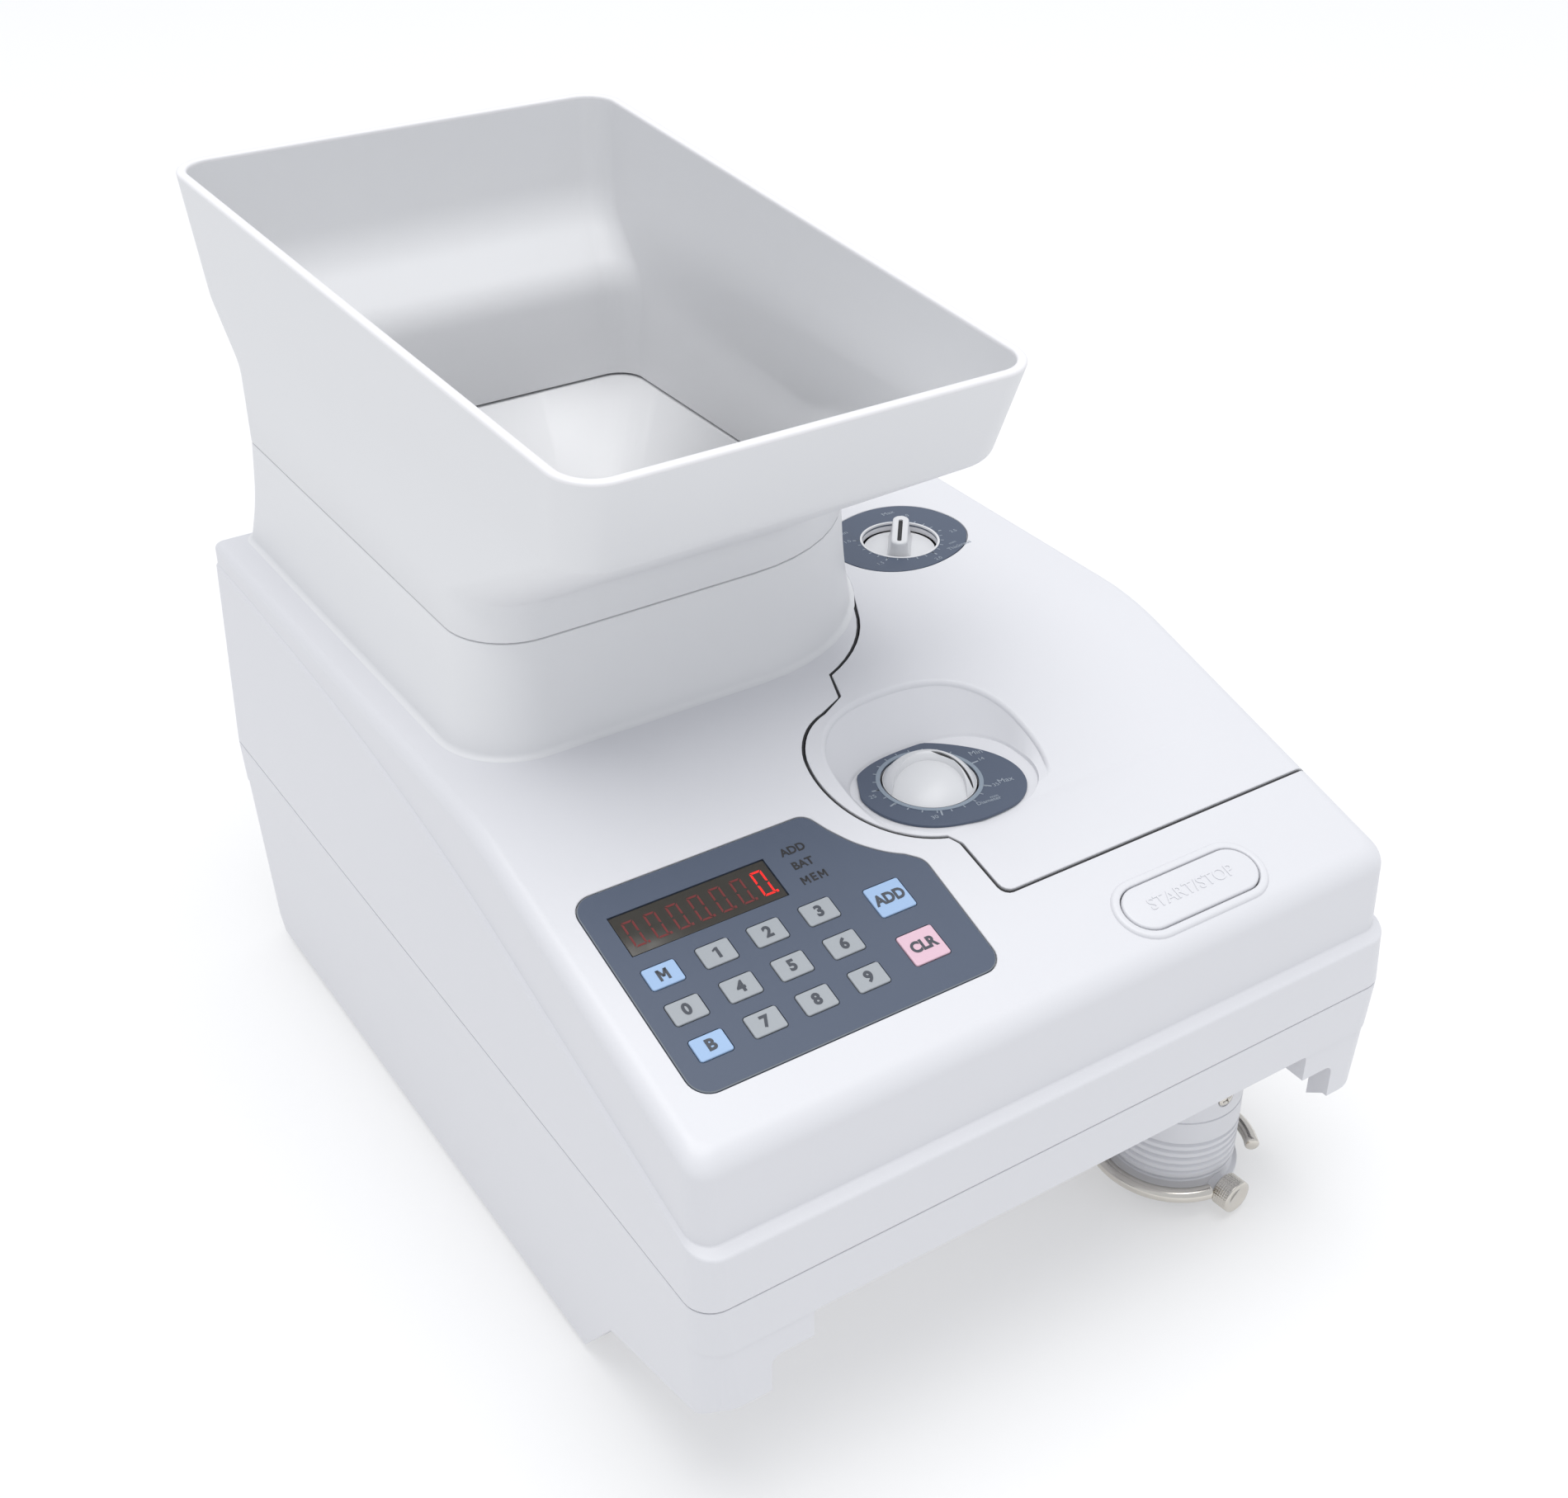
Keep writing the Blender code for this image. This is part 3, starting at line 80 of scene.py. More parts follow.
# --- body -------------------------------------------------------------------------------------------
WIDTH = 240.0
BODY_DEPTH = 319.0
SEAM_Z = 88.0
TOP_Z = 165.5
WALL = 2.8
CORNER_R = 8.0
REAR_CORNER_R = 6.0
FRONT_INSET = 5.2
SIDE_INSET = 2.3
REAR_LEAN = 2.6
REAR_INSET = 3.2
REAR_EDGE_R = 2.4
BASE_DRAFT = 4.0
SLOPE_ANGLE = math.radians(15.88)
SLOPE = math.tan(SLOPE_ANGLE)
BEND_Y = 120.6
BEND_HALF = 13.0
LEDGE_Z = 104.5
EDGE_R = 5.5
FRONT_FLOOR_Z = 72.0
FRONT_FLOOR_END = 75.0
REAR_FLOOR_Z = 8.0
SKIRT_Z = 2.0
REAR_PANEL = (-98.0, 2.0, 20.0, 56.0)

# --- hopper -----------------------------------------------------------------------------------------
DISC = (-28.5, 222.0)
THROAT_R = 61.5
COLLAR_TOP_Z = 200.2
TRAY_WALL = 3.0
RIM_FRONT = (84.0, 70.0, 271.8)
RIM_BACK = (335.0, 78.0, 285.4)

# --- controls ---------------------------------------------------------------------------------------
KEYPAD_Y = 22.0
KEYPAD = (-105.8, -10.6, 0.0, 66.8)
DISPLAY = (-99.3, -51.3, 44.4, 58.2)
KEY_SIZE = (9.7, 6.9)
BIG_KEY_SIZE = (11.3, 10.2)
KEY_COLUMNS = (-95.0, -79.0, -63.4, -47.2)
KEY_ROWS = (36.1, 24.1, 12.2)
KEY_NAMES = (("M", "1", "2", "3"), ("0", "4", "5", "6"), ("B", "7", "8", "9"))
BIG_KEYS = {"ADD": (-27.2, 31.9), "CLR": (-28.1, 14.6)}
BUTTON = (52.0, 19.8)
COVER_GAP = 1.0
LIP_R = 0.3                              # rounding of the edges along the cover's gap
DIAMETER_DIAL = (11.5, 87.0)
DIAMETER_KNOB_R = 13.6
THICKNESS_DIAL = (75.5, 190.4)
THICKNESS_HOLE_R = 12.6
BOWL = (15.2, 90.0)
BOWL_HALF = (31.8, 26.8)
BOWL_FLOOR = (15.0, 85.5)
BOWL_FLOOR_HALF = (27.5, 19.5)
BOWL_FLOOR_POWER = 2.5
BOWL_STRETCH = 1.16                      # how much longer the bowl's front half is than its back half
BOWL_FLOOR_Z = 149.6
HINGE_Y = 301.5
HINGE_Z = 159.0

# --- outlet -----------------------------------------------------------------------------------------
TUBE = (80.0, 40.0)
TUBE_R = 20.5
TUBE_BORE_R = 18.0
TUBE_BOTTOM_Z = 5.0
RIBS = 6
RIBS_TOP_Z = 29.2
RIB_PITCH = 2.9
RING_Z = 11.2
RING_R = 24.7
RING_ROD_R = 2.35
RING_START = math.radians(-101.0)
RING_END = math.radians(-401.0)
CLAMP_Z = 8.4
CLAMP_ANGLE = math.radians(-85.0)
BOSS_END = 22.9
SCREW_Z = 45.0
SCREW_ANGLE = math.radians(-89.0)

# --- studio, in metres ------------------------------------------------------------------------------
LIGHT_AT = (-0.10, -0.22, 3.5)
LIGHT_TARGET = (0.0, 0.0, 0.1)
LIGHT_SIZE = 3.1
LIGHT_POWER = 70.0
CAMERA_AT = (-0.28657, -0.45883, 0.47355)
CAMERA_TILT = math.radians(56.94)
CAMERA_TURN = math.radians(-33.25)
FOCAL_LENGTH = 46.21
SENSOR_WIDTH = 36.0


# ====================================================================================================
# Coordinates and helpers
# ====================================================================================================
def point(x, y, z):
    """A place in the machine, as a vector in metres."""
    return Vector((x * MM, cad_low.y + y * MM, z * MM))


def from_side(y, z, x):
    """A place as seen from the side: depth and height, then how far across."""
    return point(x, y, z)


def from_front(x, z, y):
    """A place as seen from the front: across and height, then how deep."""
    return point(x, y, z)


def blend(a, b, t):
    return a + (b - a) * t


def on_circle(centre, radius, angle):
    return centre[0] + radius * math.cos(angle), centre[1] + radius * math.sin(angle)


def outline(x0, x1, y0, y1, radii, arc_steps=8, side_steps=1):
    """Rounded rectangle: up the left side from the front, across the back, down the right side.

    radii run front-left, back-left, back-right, front-right. Point i faces point n-1-i.
    """
    corners = (
        (x0, y0, 1, 1, 1.5, 1.0),
        (x0, y1, 1, -1, 1.0, 0.5),
        (x1, y1, -1, -1, 0.5, 0.0),
        (x1, y0, -1, 1, 0.0, -0.5),
    )
    arcs = []
    for (cx, cy, sx, sy, start, end), radius in zip(corners, radii):
        centre = (cx + sx * radius, cy + sy * radius)
        arcs.append([on_circle(centre, radius, math.pi * blend(start, end, i / arc_steps))
                     for i in range(arc_steps + 1)])
    points = []
    for arc, following in ((arcs[0], arcs[1]), (arcs[2], arcs[3])):
        points += arc
        for i in range(1, side_steps):
            t = i / side_steps
            points.append((blend(arc[-1][0], following[0][0], t), blend(arc[-1][1], following[0][1], t)))
        points += following
    return points


def ring(points, height):
    """Lift a flat outline to a height, which may depend on y."""
    if callable(height):
        return [(p[0], p[1], height(p[1])) for p in points]
    return [(p[0], p[1], height) for p in points]


def above(height, rise):
    return lambda y: height(y) + rise


def circle(centre, radius, steps):
    return [on_circle(centre, radius, math.tau * i / steps) for i in range(steps)]


def rounding(radius, steps=5):
    """(sideways, down) steps round a convex edge, from the side wall to the top face."""
    for i in range(steps + 1):
        a = math.pi / 2 * i / steps
        yield radius * (1 - math.cos(a)), radius * (1 - math.sin(a))


def piece(name, bm, finish, smooth=35.0):
    """Turn a bmesh into a piece whose faces point outwards."""
    bmesh.ops.recalc_face_normals(bm, faces=bm.faces)
    mesh = bpy.data.meshes.new(name)
    bm.to_mesh(mesh)
    bm.free()
    made = bpy.data.objects.new(name, mesh)
    bpy.context.scene.collection.objects.link(made)
    if finish:
        mesh.materials.append(FINISHES[finish])
    shade(made, smooth)
    return made


def shade(made, smooth=35.0):
    made.data.shade_smooth()
    made.data.set_sharp_from_angle(angle=math.radians(smooth))


def settle(made, smooth=35.0):
    """Shade a carved piece so that its large faces stay flat up to their rounded edges."""
    shade(made, smooth)
    weighted = made.modifiers.new("Weighted normals", "WEIGHTED_NORMAL")
    weighted.keep_sharp = True
    weighted.weight = 80
    return made


def carve(made, tool, operation="DIFFERENCE"):
    """Cut with, add or keep only what lies in another solid, which is used up."""
    cut = made.modifiers.new("Carve", "BOOLEAN")
    cut.operation = operation
    cut.object = tool
    bpy.context.view_layer.update()
    depsgraph = bpy.context.evaluated_depsgraph_get()
    mesh = bpy.data.meshes.new_from_object(made.evaluated_get(depsgraph))
    made.modifiers.clear()
    made.data = mesh
    bpy.data.objects.remove(tool, do_unlink=True)
    return made


def add_rings(bm, rings, place=point):
    return [[bm.verts.new(place(*p)) for p in r] for r in rings]


def bridge(bm, lower, upper):
    n = len(lower)
    for i in range(n):
        bm.faces.new((lower[i], lower[(i + 1) % n], upper[(i + 1) % n], upper[i]))


def strips(bm, loop):
    """Close a ring with strips from side to side, so that the face may bend along y."""
    n = len(loop)
    for i in range(n // 2 - 1):
        bm.faces.new((loop[i], loop[i + 1], loop[n - 2 - i], loop[n - 1 - i]))


def add_stack(bm, rings, place=point, bent=False):
    """Add a solid through a stack of rings; bent caps follow the slope in strips."""
    loops = add_rings(bm, rings, place)
    for lower, upper in zip(loops, loops[1:]):
        bridge(bm, lower, upper)
    for end in (loops[0], loops[-1]):
        if bent:
            strips(bm, end)
        else:
            bm.faces.new(end)


def add_band(bm, rings, place=point):
    """Add a body with a hole through it: the rings run round its section and back to the first."""
    loops = add_rings(bm, rings, place)
    for lower, upper in zip(loops, loops[1:] + loops[:1]):
        bridge(bm, lower, upper)


def loft(name, rings, finish=None, smooth=35.0, place=point, bent=False):
    bm = bmesh.new()
    add_stack(bm, rings, place, bent)
    return piece(name, bm, finish, smooth)


def cup(name, outer, inner, finish=None, smooth=35.0):
    """A shell: outer rings from its rim to its closed end, then inner rings from the rim likewise."""
    bm = bmesh.new()
    outside, inside = add_rings(bm, outer), add_rings(bm, inner)
    for side in (outside, inside):
        for lower, upper in zip(side, side[1:]):
            bridge(bm, lower, upper)
        strips(bm, side[-1])
    bridge(bm, outside[0], inside[0])
    return piece(name, bm, finish, smooth)


def sleeve(name, rings, finish=None, smooth=35.0, place=point):
    bm = bmesh.new()
    add_band(bm, rings, place)
    return piece(name, bm, finish, smooth)


def box(name, x, y, z, finish=None, place=point):
    """A block between two limits on each axis."""
    corners = [(x[0], y[0]), (x[1], y[0]), (x[1], y[1]), (x[0], y[1])]
    return loft(name, [ring(corners, z[0]), ring(corners, z[1])], finish, 30, place)


def prism(name, points, z0, z1, finish=None, smooth=35.0, place=point, edge=0.0):
    """A flat outline pushed up from z0 to z1, with its upper edge rounded off if edge is given."""
    rings = [ring(points, z0)]
    if edge:
        for aside, down in rounding(edge, 4):
            rings.append(ring(offset(points, -aside), z1 - down))
    else:
        rings.append(ring(points, z1))
    return loft(name, rings, finish, smooth, place)


def offset(points, grow):
    """Move each side of a closed outline outwards, or inwards for a negative value."""
    n = len(points)
    area = sum(points[i - 1][0] * points[i][1] - points[i][0] * points[i - 1][1] for i in range(n))
    way = 1 if area > 0 else -1
    moved = []
    for i in range(n):
        before, here, after = (Vector(points[i - 1]), Vector(points[i]), Vector(points[(i + 1) % n]))
        a, b = (here - before).normalized(), (after - here).normalized()
        normal = Vector((a.y + b.y, -a.x - b.x)).normalized() * way
        stretch = max(normal.dot(Vector((a.y, -a.x)) * way), 0.5)
        moved.append(tuple(here + normal * grow / stretch))
    return moved


def turned(name, profile, centre, axis=(0, 0, 1), finish=None, steps=96, smooth=35.0, wave=None,
           closed=False):
    """A turned piece: (radius, height) points spun about an axis through centre, in metres.

    wave(angle, height) may vary the radius, as on a knurled edge.
    """
    turn = Vector((0, 0, 1)).rotation_difference(Vector(axis)).to_matrix()
    bm = bmesh.new()
    loops = []
    for r, h in profile:
        loop = []
        for i in range(steps):
            a = math.tau * i / steps
            radius = r + (wave(a, h) if wave and r > 0.01 else 0.0)
            loop.append(bm.verts.new(centre + turn @ Vector((radius * math.cos(a), radius * math.sin(a), h))
                                     * MM))
        loops.append(loop)
    for lower, upper in zip(loops, loops[1:]):
        bridge(bm, lower, upper)
    if closed:
        bridge(bm, loops[-1], loops[0])
    bmesh.ops.remove_doubles(bm, verts=bm.verts, dist=0.000002)
    return piece(name, bm, finish, smooth)


def tube_along(name, path, radius, finish, steps=24):
    """A round bar bent along a path, with its flat ends broken by a small chamfer."""
    bm = bmesh.new()
    places = [point(*p) for p in path]
    loops = []
    last = len(places) - 1
    for i, place in enumerate(places):
        ahead = (places[min(i + 1, last)] - places[max(i - 1, 0)]).normalized()
        side = ahead.cross(Vector((0, 0, 1))).normalized()
        over = side.cross(ahead)
        cuts = [(0.0, radius)]
        if i == 0:
            cuts = [(0.0, radius - 0.4), (0.35, radius)]
        elif i == last:
            cuts = [(-0.35, radius), (0.0, radius - 0.4)]
        for along, r in cuts:
            loops.append([bm.verts.new(place + ahead * along * MM
                                       + (side * math.cos(a) + over * math.sin(a)) * r * MM)
                          for a in (math.tau * k / steps for k in range(steps))])
    for lower, upper in zip(loops, loops[1:]):
        bridge(bm, lower, upper)
    bm.faces.new(loops[0])
    bm.faces.new(loops[-1])
    return piece(name, bm, finish, 50)


def fillet(points, radii, steps=6):
    """Round the corners of a polygon; a radius of 0 keeps a corner sharp."""
    rounded = []
    for i, (corner, radius) in enumerate(zip(points, radii)):
        if radius == 0:
            rounded.append(corner)
            continue
        here = Vector(corner)
        back = (Vector(points[i - 1]) - here).normalized()
        ahead = (Vector(points[(i + 1) % len(points)]) - here).normalized()
        half = back.angle(ahead) / 2
        centre = here + (back + ahead).normalized() * radius / math.sin(half)
        start = here + back * radius / math.tan(half) - centre
        turn = math.pi - 2 * half
        if back.x * ahead.y - back.y * ahead.x > 0:
            turn = -turn
        for k in range(steps + 1):
            a = turn * k / steps
            rounded.append((centre.x + start.x * math.cos(a) - start.y * math.sin(a),
                            centre.y + start.x * math.sin(a) + start.y * math.cos(a)))
    return rounded


def obround(half_length, radius, steps=16):
    """Outline with two straight sides and two round ends, along u."""
    reach = half_length - radius
    return [on_circle((side * reach, 0), radius, math.radians(start + 180 * i / steps))
            for side, start in ((1, -90), (-1, 90)) for i in range(steps + 1)]


def turned_plan(points, centre, angle):
    """Turn an outline about its own middle and move it to a centre."""
    c, s = math.cos(angle), math.sin(angle)
    return [(centre[0] + u * c - v * s, centre[1] + u * s + v * c) for u, v in points]


def superellipse(centre, half_x, half_y, power, steps, turn=0.0):
    """Closed oval whose sides are squarer as the power rises above 2."""
    points = []
    for i in range(steps):
        a = math.tau * i / steps
        c, s = math.cos(a), math.sin(a)
        points.append((half_x * math.copysign(abs(c) ** (2 / power), c),
                       half_y * math.copysign(abs(s) ** (2 / power), s)))
    return turned_plan(points, centre, turn)


def slope_frame(x0, y0):
    """Local frame on the sloping front: u to the right, v up the slope, w out of the surface."""
    origin = point(x0, y0, surface_z(y0))

    def place(u, v, w):
        return origin + Vector((u, v * math.cos(SLOPE_ANGLE) - w * math.sin(SLOPE_ANGLE),
                                v * math.sin(SLOPE_ANGLE) + w * math.cos(SLOPE_ANGLE))) * MM
    return place


def flat_frame(x0, y0, z0, angle=0.0):
    """Local frame on a level face, turned about its centre."""
    c, s = math.cos(angle), math.sin(angle)
    return lambda u, v, w: point(x0 + u * c - v * s, y0 + u * s + v * c, z0 + w)


def letters(bm, text, place, height, u=0.0, v=0.0, low=-0.1, high=0.1, bold=0.0, stretch=1.0):
    """Add a word as a thin solid, centred on (u, v) in a local frame."""
    curve = bpy.data.curves.new("word", "FONT")
    curve.body = text
    curve.align_x, curve.align_y = "CENTER", "CENTER"
    curve.size = height / 0.72
    curve.offset = bold
    curve.extrude = (high - low) / 2
    curve.resolution_u = 4
    word = bpy.data.objects.new("word", curve)
    bpy.context.scene.collection.objects.link(word)
    bpy.context.view_layer.update()
    mesh = bpy.data.meshes.new_from_object(word.evaluated_get(bpy.context.evaluated_depsgraph_get()))
    for vert in mesh.vertices:
        x, y, z = vert.co
        vert.co = place(u + x * stretch, v + y, (low + high) / 2 + z)
    bm.from_mesh(mesh)
    bpy.data.objects.remove(word, do_unlink=True)
    bpy.data.meshes.remove(mesh)


def bars(bm, place, quads, low, high):
    """Add flat polygons, each pushed from low to high, to a bmesh."""
    for corners in quads:
        add_stack(bm, [ring(corners, low), ring(corners, high)], place)


def letter_m(u, v, height, thick):
    """Upright strokes and slanting strokes of a capital M."""
    half, up = height * 0.45, height / 2
    foot = [(-half, -up), (-half + thick, -up), (-half + thick, up), (-half, up)]
    slant = [(-half, up), (-half + thick * 1.15, up), (thick / 2, -up * 0.35), (-thick / 2, -up * 0.35)]
    shapes = [foot, slant, [(-x, y) for x, y in foot], [(-x, y) for x, y in slant]]
    return [[(u + x, v + y) for x, y in shape] for shape in shapes]


def stroke(a, b, width):
    """Outline of a straight mark from a to b."""
    a, b = Vector(a), Vector(b)
    along = (b - a).normalized() * width / 2
    side = Vector((-along.y, along.x))
    return [tuple(corner) for corner in (a + side, a - side, b - side, b + side)]


# ====================================================================================================
# Materials
# ====================================================================================================
FINISHES = {}
MOTTLE_SIZE = 38.0


def finish(name, colour, roughness, metallic=0.0, grain=0.0, grain_size=0.7, mottle=0.0, uneven=0.05,
           stretch=(1, 1, 1), glow=None):
    """A Principled material whose colour, roughness and surface vary with noise in the solid.

    grain is the depth of the surface texture in millimetres, and grain_size its width. mottle and
    uneven are how far colour and roughness vary, and stretch draws the texture out along an axis.
    """
    made = bpy.data.materials.new(name)
    made.use_nodes = True
    nodes, links = made.node_tree.nodes, made.node_tree.links
    shader = nodes["Principled BSDF"]
    shader.inputs["Metallic"].default_value = metallic
    if glow:
        shader.inputs["Emission Color"].default_value = (*glow[0], 1.0)
        shader.inputs["Emission Strength"].default_value = glow[1]
    where = nodes.new("ShaderNodeTexCoord")
    scale = nodes.new("ShaderNodeMapping")
    scale.inputs["Scale"].default_value = stretch
    links.new(where.outputs["Object"], scale.inputs["Vector"])

    def noise(size, detail):
        made_noise = nodes.new("ShaderNodeTexNoise")
        made_noise.inputs["Scale"].default_value = 1000.0 / size
        made_noise.inputs["Detail"].default_value = detail
        links.new(scale.outputs["Vector"], made_noise.inputs["Vector"])
        return made_noise.outputs["Fac"]

    broad = noise(MOTTLE_SIZE, 3.0)
    fine = noise(grain_size, 4.0)
    tint = nodes.new("ShaderNodeMix")
    tint.data_type = "RGBA"
    tint.inputs[6].default_value = (*[c * (1 - mottle) for c in colour], 1.0)
    tint.inputs[7].default_value = (*[min(c * (1 + mottle), 1.0) for c in colour], 1.0)
    links.new(broad, tint.inputs[0])
    links.new(tint.outputs[2], shader.inputs["Base Color"])
    gloss = nodes.new("ShaderNodeMapRange")
    gloss.inputs["From Min"].default_value = 0.3
    gloss.inputs["From Max"].default_value = 0.7
    gloss.inputs["To Min"].default_value = max(roughness - uneven, 0.02)
    gloss.inputs["To Max"].default_value = min(roughness + uneven, 1.0)
    links.new(fine, gloss.inputs["Value"])
    links.new(gloss.outputs["Result"], shader.inputs["Roughness"])
    if grain:
        bump = nodes.new("ShaderNodeBump")
        bump.inputs["Strength"].default_value = 1.0
        bump.inputs["Distance"].default_value = grain * MM
        links.new(fine, bump.inputs["Height"])
        links.new(bump.outputs["Normal"], shader.inputs["Normal"])
    FINISHES[name] = made
    return made


def make_finishes():
    finish("shell", (0.715, 0.717, 0.744), 0.40, grain=0.006, grain_size=0.5, mottle=0.006)
    # hopper plastic: its own white, set lighter than the shell as painted fill light for the shade under the
    # tray
    finish("hopper", (0.765, 0.768, 0.78), 0.45, grain=0.006, grain_size=0.5, mottle=0.006)
    # rim: a lighter copy of the hopper plastic, a painted highlight on the tray's upturned rim
    finish("rim", (0.82, 0.812, 0.825), 0.42, grain=0.004, mottle=0.004)
    finish("film", (0.072, 0.094, 0.142), 0.46, grain=0.004, grain_size=0.25, mottle=0.02)
    # lighter edge colour: painted highlight round the keypad panel's chamfer
    finish("film_edge_painted_highlight", (0.20, 0.225, 0.25), 0.4, grain=0.003, mottle=0.02)
    finish("key_grey", (0.36, 0.385, 0.41), 0.5, grain=0.004, grain_size=0.3, mottle=0.015)
    finish("key_blue", (0.34, 0.49, 0.72), 0.5, grain=0.004, grain_size=0.3, mottle=0.015)
    finish("key_pink", (0.72, 0.49, 0.58), 0.5, grain=0.004, grain_size=0.3, mottle=0.015)
    finish("legend", (0.055, 0.063, 0.08), 0.5, grain=0.002, mottle=0.03)
    finish("label_black", (0.012, 0.012, 0.014), 0.5, grain=0.002, mottle=0.03)
    finish("dial_print", (0.30, 0.34, 0.39), 0.5, grain=0.002, mottle=0.03)
    finish("dial_ring", (0.24, 0.29, 0.35), 0.45, grain=0.002, mottle=0.02)
    finish("window", (0.036, 0.032, 0.025), 0.16, grain=0.0008, grain_size=4, mottle=0.08)
    finish("digit_lit", (0.5, 0.004, 0.0), 0.5, mottle=0.02, glow=((1.0, 0.001, 0.0), 0.75))
    finish("digit_dim", (0.16, 0.012, 0.012), 0.5, mottle=0.05)
    finish("knob", (0.70, 0.705, 0.72), 0.34, grain=0.003, mottle=0.005)
    finish("nickel", (0.66, 0.63, 0.58), 0.17, 1.0, grain=0.002, grain_size=1.5, mottle=0.04, uneven=0.06)
    finish("steel", (0.52, 0.53, 0.55), 0.36, 1.0, grain=0.004, grain_size=0.4, mottle=0.05,
           stretch=(1, 12, 1), uneven=0.1)
    finish("aluminium", (0.62, 0.63, 0.65), 0.4, 1.0, grain=0.004, grain_size=0.5, mottle=0.04,
           stretch=(10, 1, 1), uneven=0.1)
    finish("rubber", (0.022, 0.022, 0.024), 0.75, grain=0.02, grain_size=0.8, mottle=0.2, uneven=0.1)
    finish("black_plastic", (0.024, 0.024, 0.026), 0.42, grain=0.012, grain_size=0.5, mottle=0.1)
    finish("circuit_board", (0.02, 0.12, 0.05), 0.4, grain=0.01, grain_size=1.4, mottle=0.3, uneven=0.1)


SLOT_FINISH = {
    "shell_plastic": "shell", "hopper_plastic": "hopper", "panel_print": "film", "key_grey": "key_grey",
    "key_blue": "key_blue", "key_pink": "key_pink", "dark_window": "window", "knob_plastic": "knob",
    "nickel": "nickel", "steel": "steel", "aluminium": "aluminium", "rubber": "rubber",
    "black_plastic": "black_plastic", "circuit_board": "circuit_board",
}


def dress_frame():
    """Give every node of the frame the finish of its slot."""
    for row in frame["record"]["subparts"]:
        node = frame["nodes"][row["node"]]
        node.data.materials.clear()
        node.data.materials.append(FINISHES[SLOT_FINISH[row["material_slot"]]])


def stand_for(made, node, body):
    """The piece rides on a body in place of a node, which is hidden."""
    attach(made, body)
    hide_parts(node)
    return made


# ====================================================================================================
# Heights along the body
# ====================================================================================================
def surface_z(y):
    return TOP_Z - (BEND_Y - y) * SLOPE


def top_z(y):
    """Height of the top: a slope, a soft bend and a flat."""
    if y >= BEND_Y + BEND_HALF:
        return TOP_Z
    if y <= BEND_Y - BEND_HALF:
        return surface_z(y)
    return TOP_Z - SLOPE * (BEND_Y + BEND_HALF - y) ** 2 / (4 * BEND_HALF)


def ledge_z(y):
    """Height of the ledge: it climbs with the slope, then levels out towards the back."""
    rise, end_rise = 0.289, 0.02
    start, end = 105.0, 300.0
    if y <= start:
        return LEDGE_Z + rise * y
    t = min((y - start) / (end - start), 1.0)
    begin_z, end_z = LEDGE_Z + rise * start, 157.0
    return ((2 * t ** 3 - 3 * t ** 2 + 1) * begin_z + (t ** 3 - 2 * t ** 2 + t) * (end - start) * rise
            + (3 * t ** 2 - 2 * t ** 3) * end_z + (t ** 3 - t ** 2) * (end - start) * end_rise)


# ====================================================================================================
# Casing
# ====================================================================================================
def body_outline(inset):
    """Plan of the body, drawn in from its widest line by an inset.

    Three insets hold for the front wall, for the front end of the sides, and for the back.
    """
    front, side, rear = inset if isinstance(inset, tuple) else (inset,) * 3
    near, far = max(CORNER_R - front * 0.3, 3.0), max(REAR_CORNER_R - rear, 2.5)
    half = WIDTH / 2 - side
    plan = outline(-half, half, front, BODY_DEPTH - rear, (near, far, far, near), 8, 66)
    return [(x * (1 + (side - rear) / BODY_DEPTH * y / half), y) for x, y in plan]


def below(height, front, rear):
    """A height lowered by one amount in front and another at the back."""
    return lambda y: height(y) - blend(front, rear, y / BODY_DEPTH)


def upper_rings():
    """Outside of the upper shell from the seam to the top, and its inside."""
    seam = SEAM_Z + GAP / 2
    outer = [ring(body_outline(i), seam + h) for i, h in ((0.4, 0.0), (0.1, 0.12), (0.0, 0.45))]
    ledge = ((0.0, -0.5), (0.05, -0.15), (0.25, 0.12), (0.55, 0.28), (2.95, 1.05), (3.25, 1.2),
             (3.4, 1.55))
    outer += [ring(body_outline((0.8 + i, 0.8 + i * 0.4, REAR_LEAN + i * 0.17)),
                   below(ledge_z, -h, -h * 0.6)) for i, h in ledge]
    for aside, down in rounding(1.0, 9):
        outer.append(ring(body_outline((FRONT_INSET + EDGE_R * aside, SIDE_INSET + EDGE_R * aside,
                                        REAR_INSET + REAR_EDGE_R * aside)),
                          below(top_z, EDGE_R * down, REAR_EDGE_R * down)))
    inner = [
        ring(body_outline(WALL), seam),
        ring(body_outline((WALL + 0.8, WALL + 0.8, WALL + REAR_LEAN)), above(ledge_z, -1.5)),
        ring(body_outline((WALL + 3.8, WALL + 1.9, WALL + REAR_LEAN + 0.3)), below(ledge_z, -0.6, 0.8)),
        ring(body_outline((WALL + FRONT_INSET, WALL + SIDE_INSET, WALL + REAR_INSET)),
             below(top_z, EDGE_R, 4.2)),
        ring(body_outline((WALL + 7.6, WALL + SIDE_INSET + 2.4, WALL + REAR_INSET + 1.2)),
             above(top_z, -WALL)),
    ]
    return outer, inner


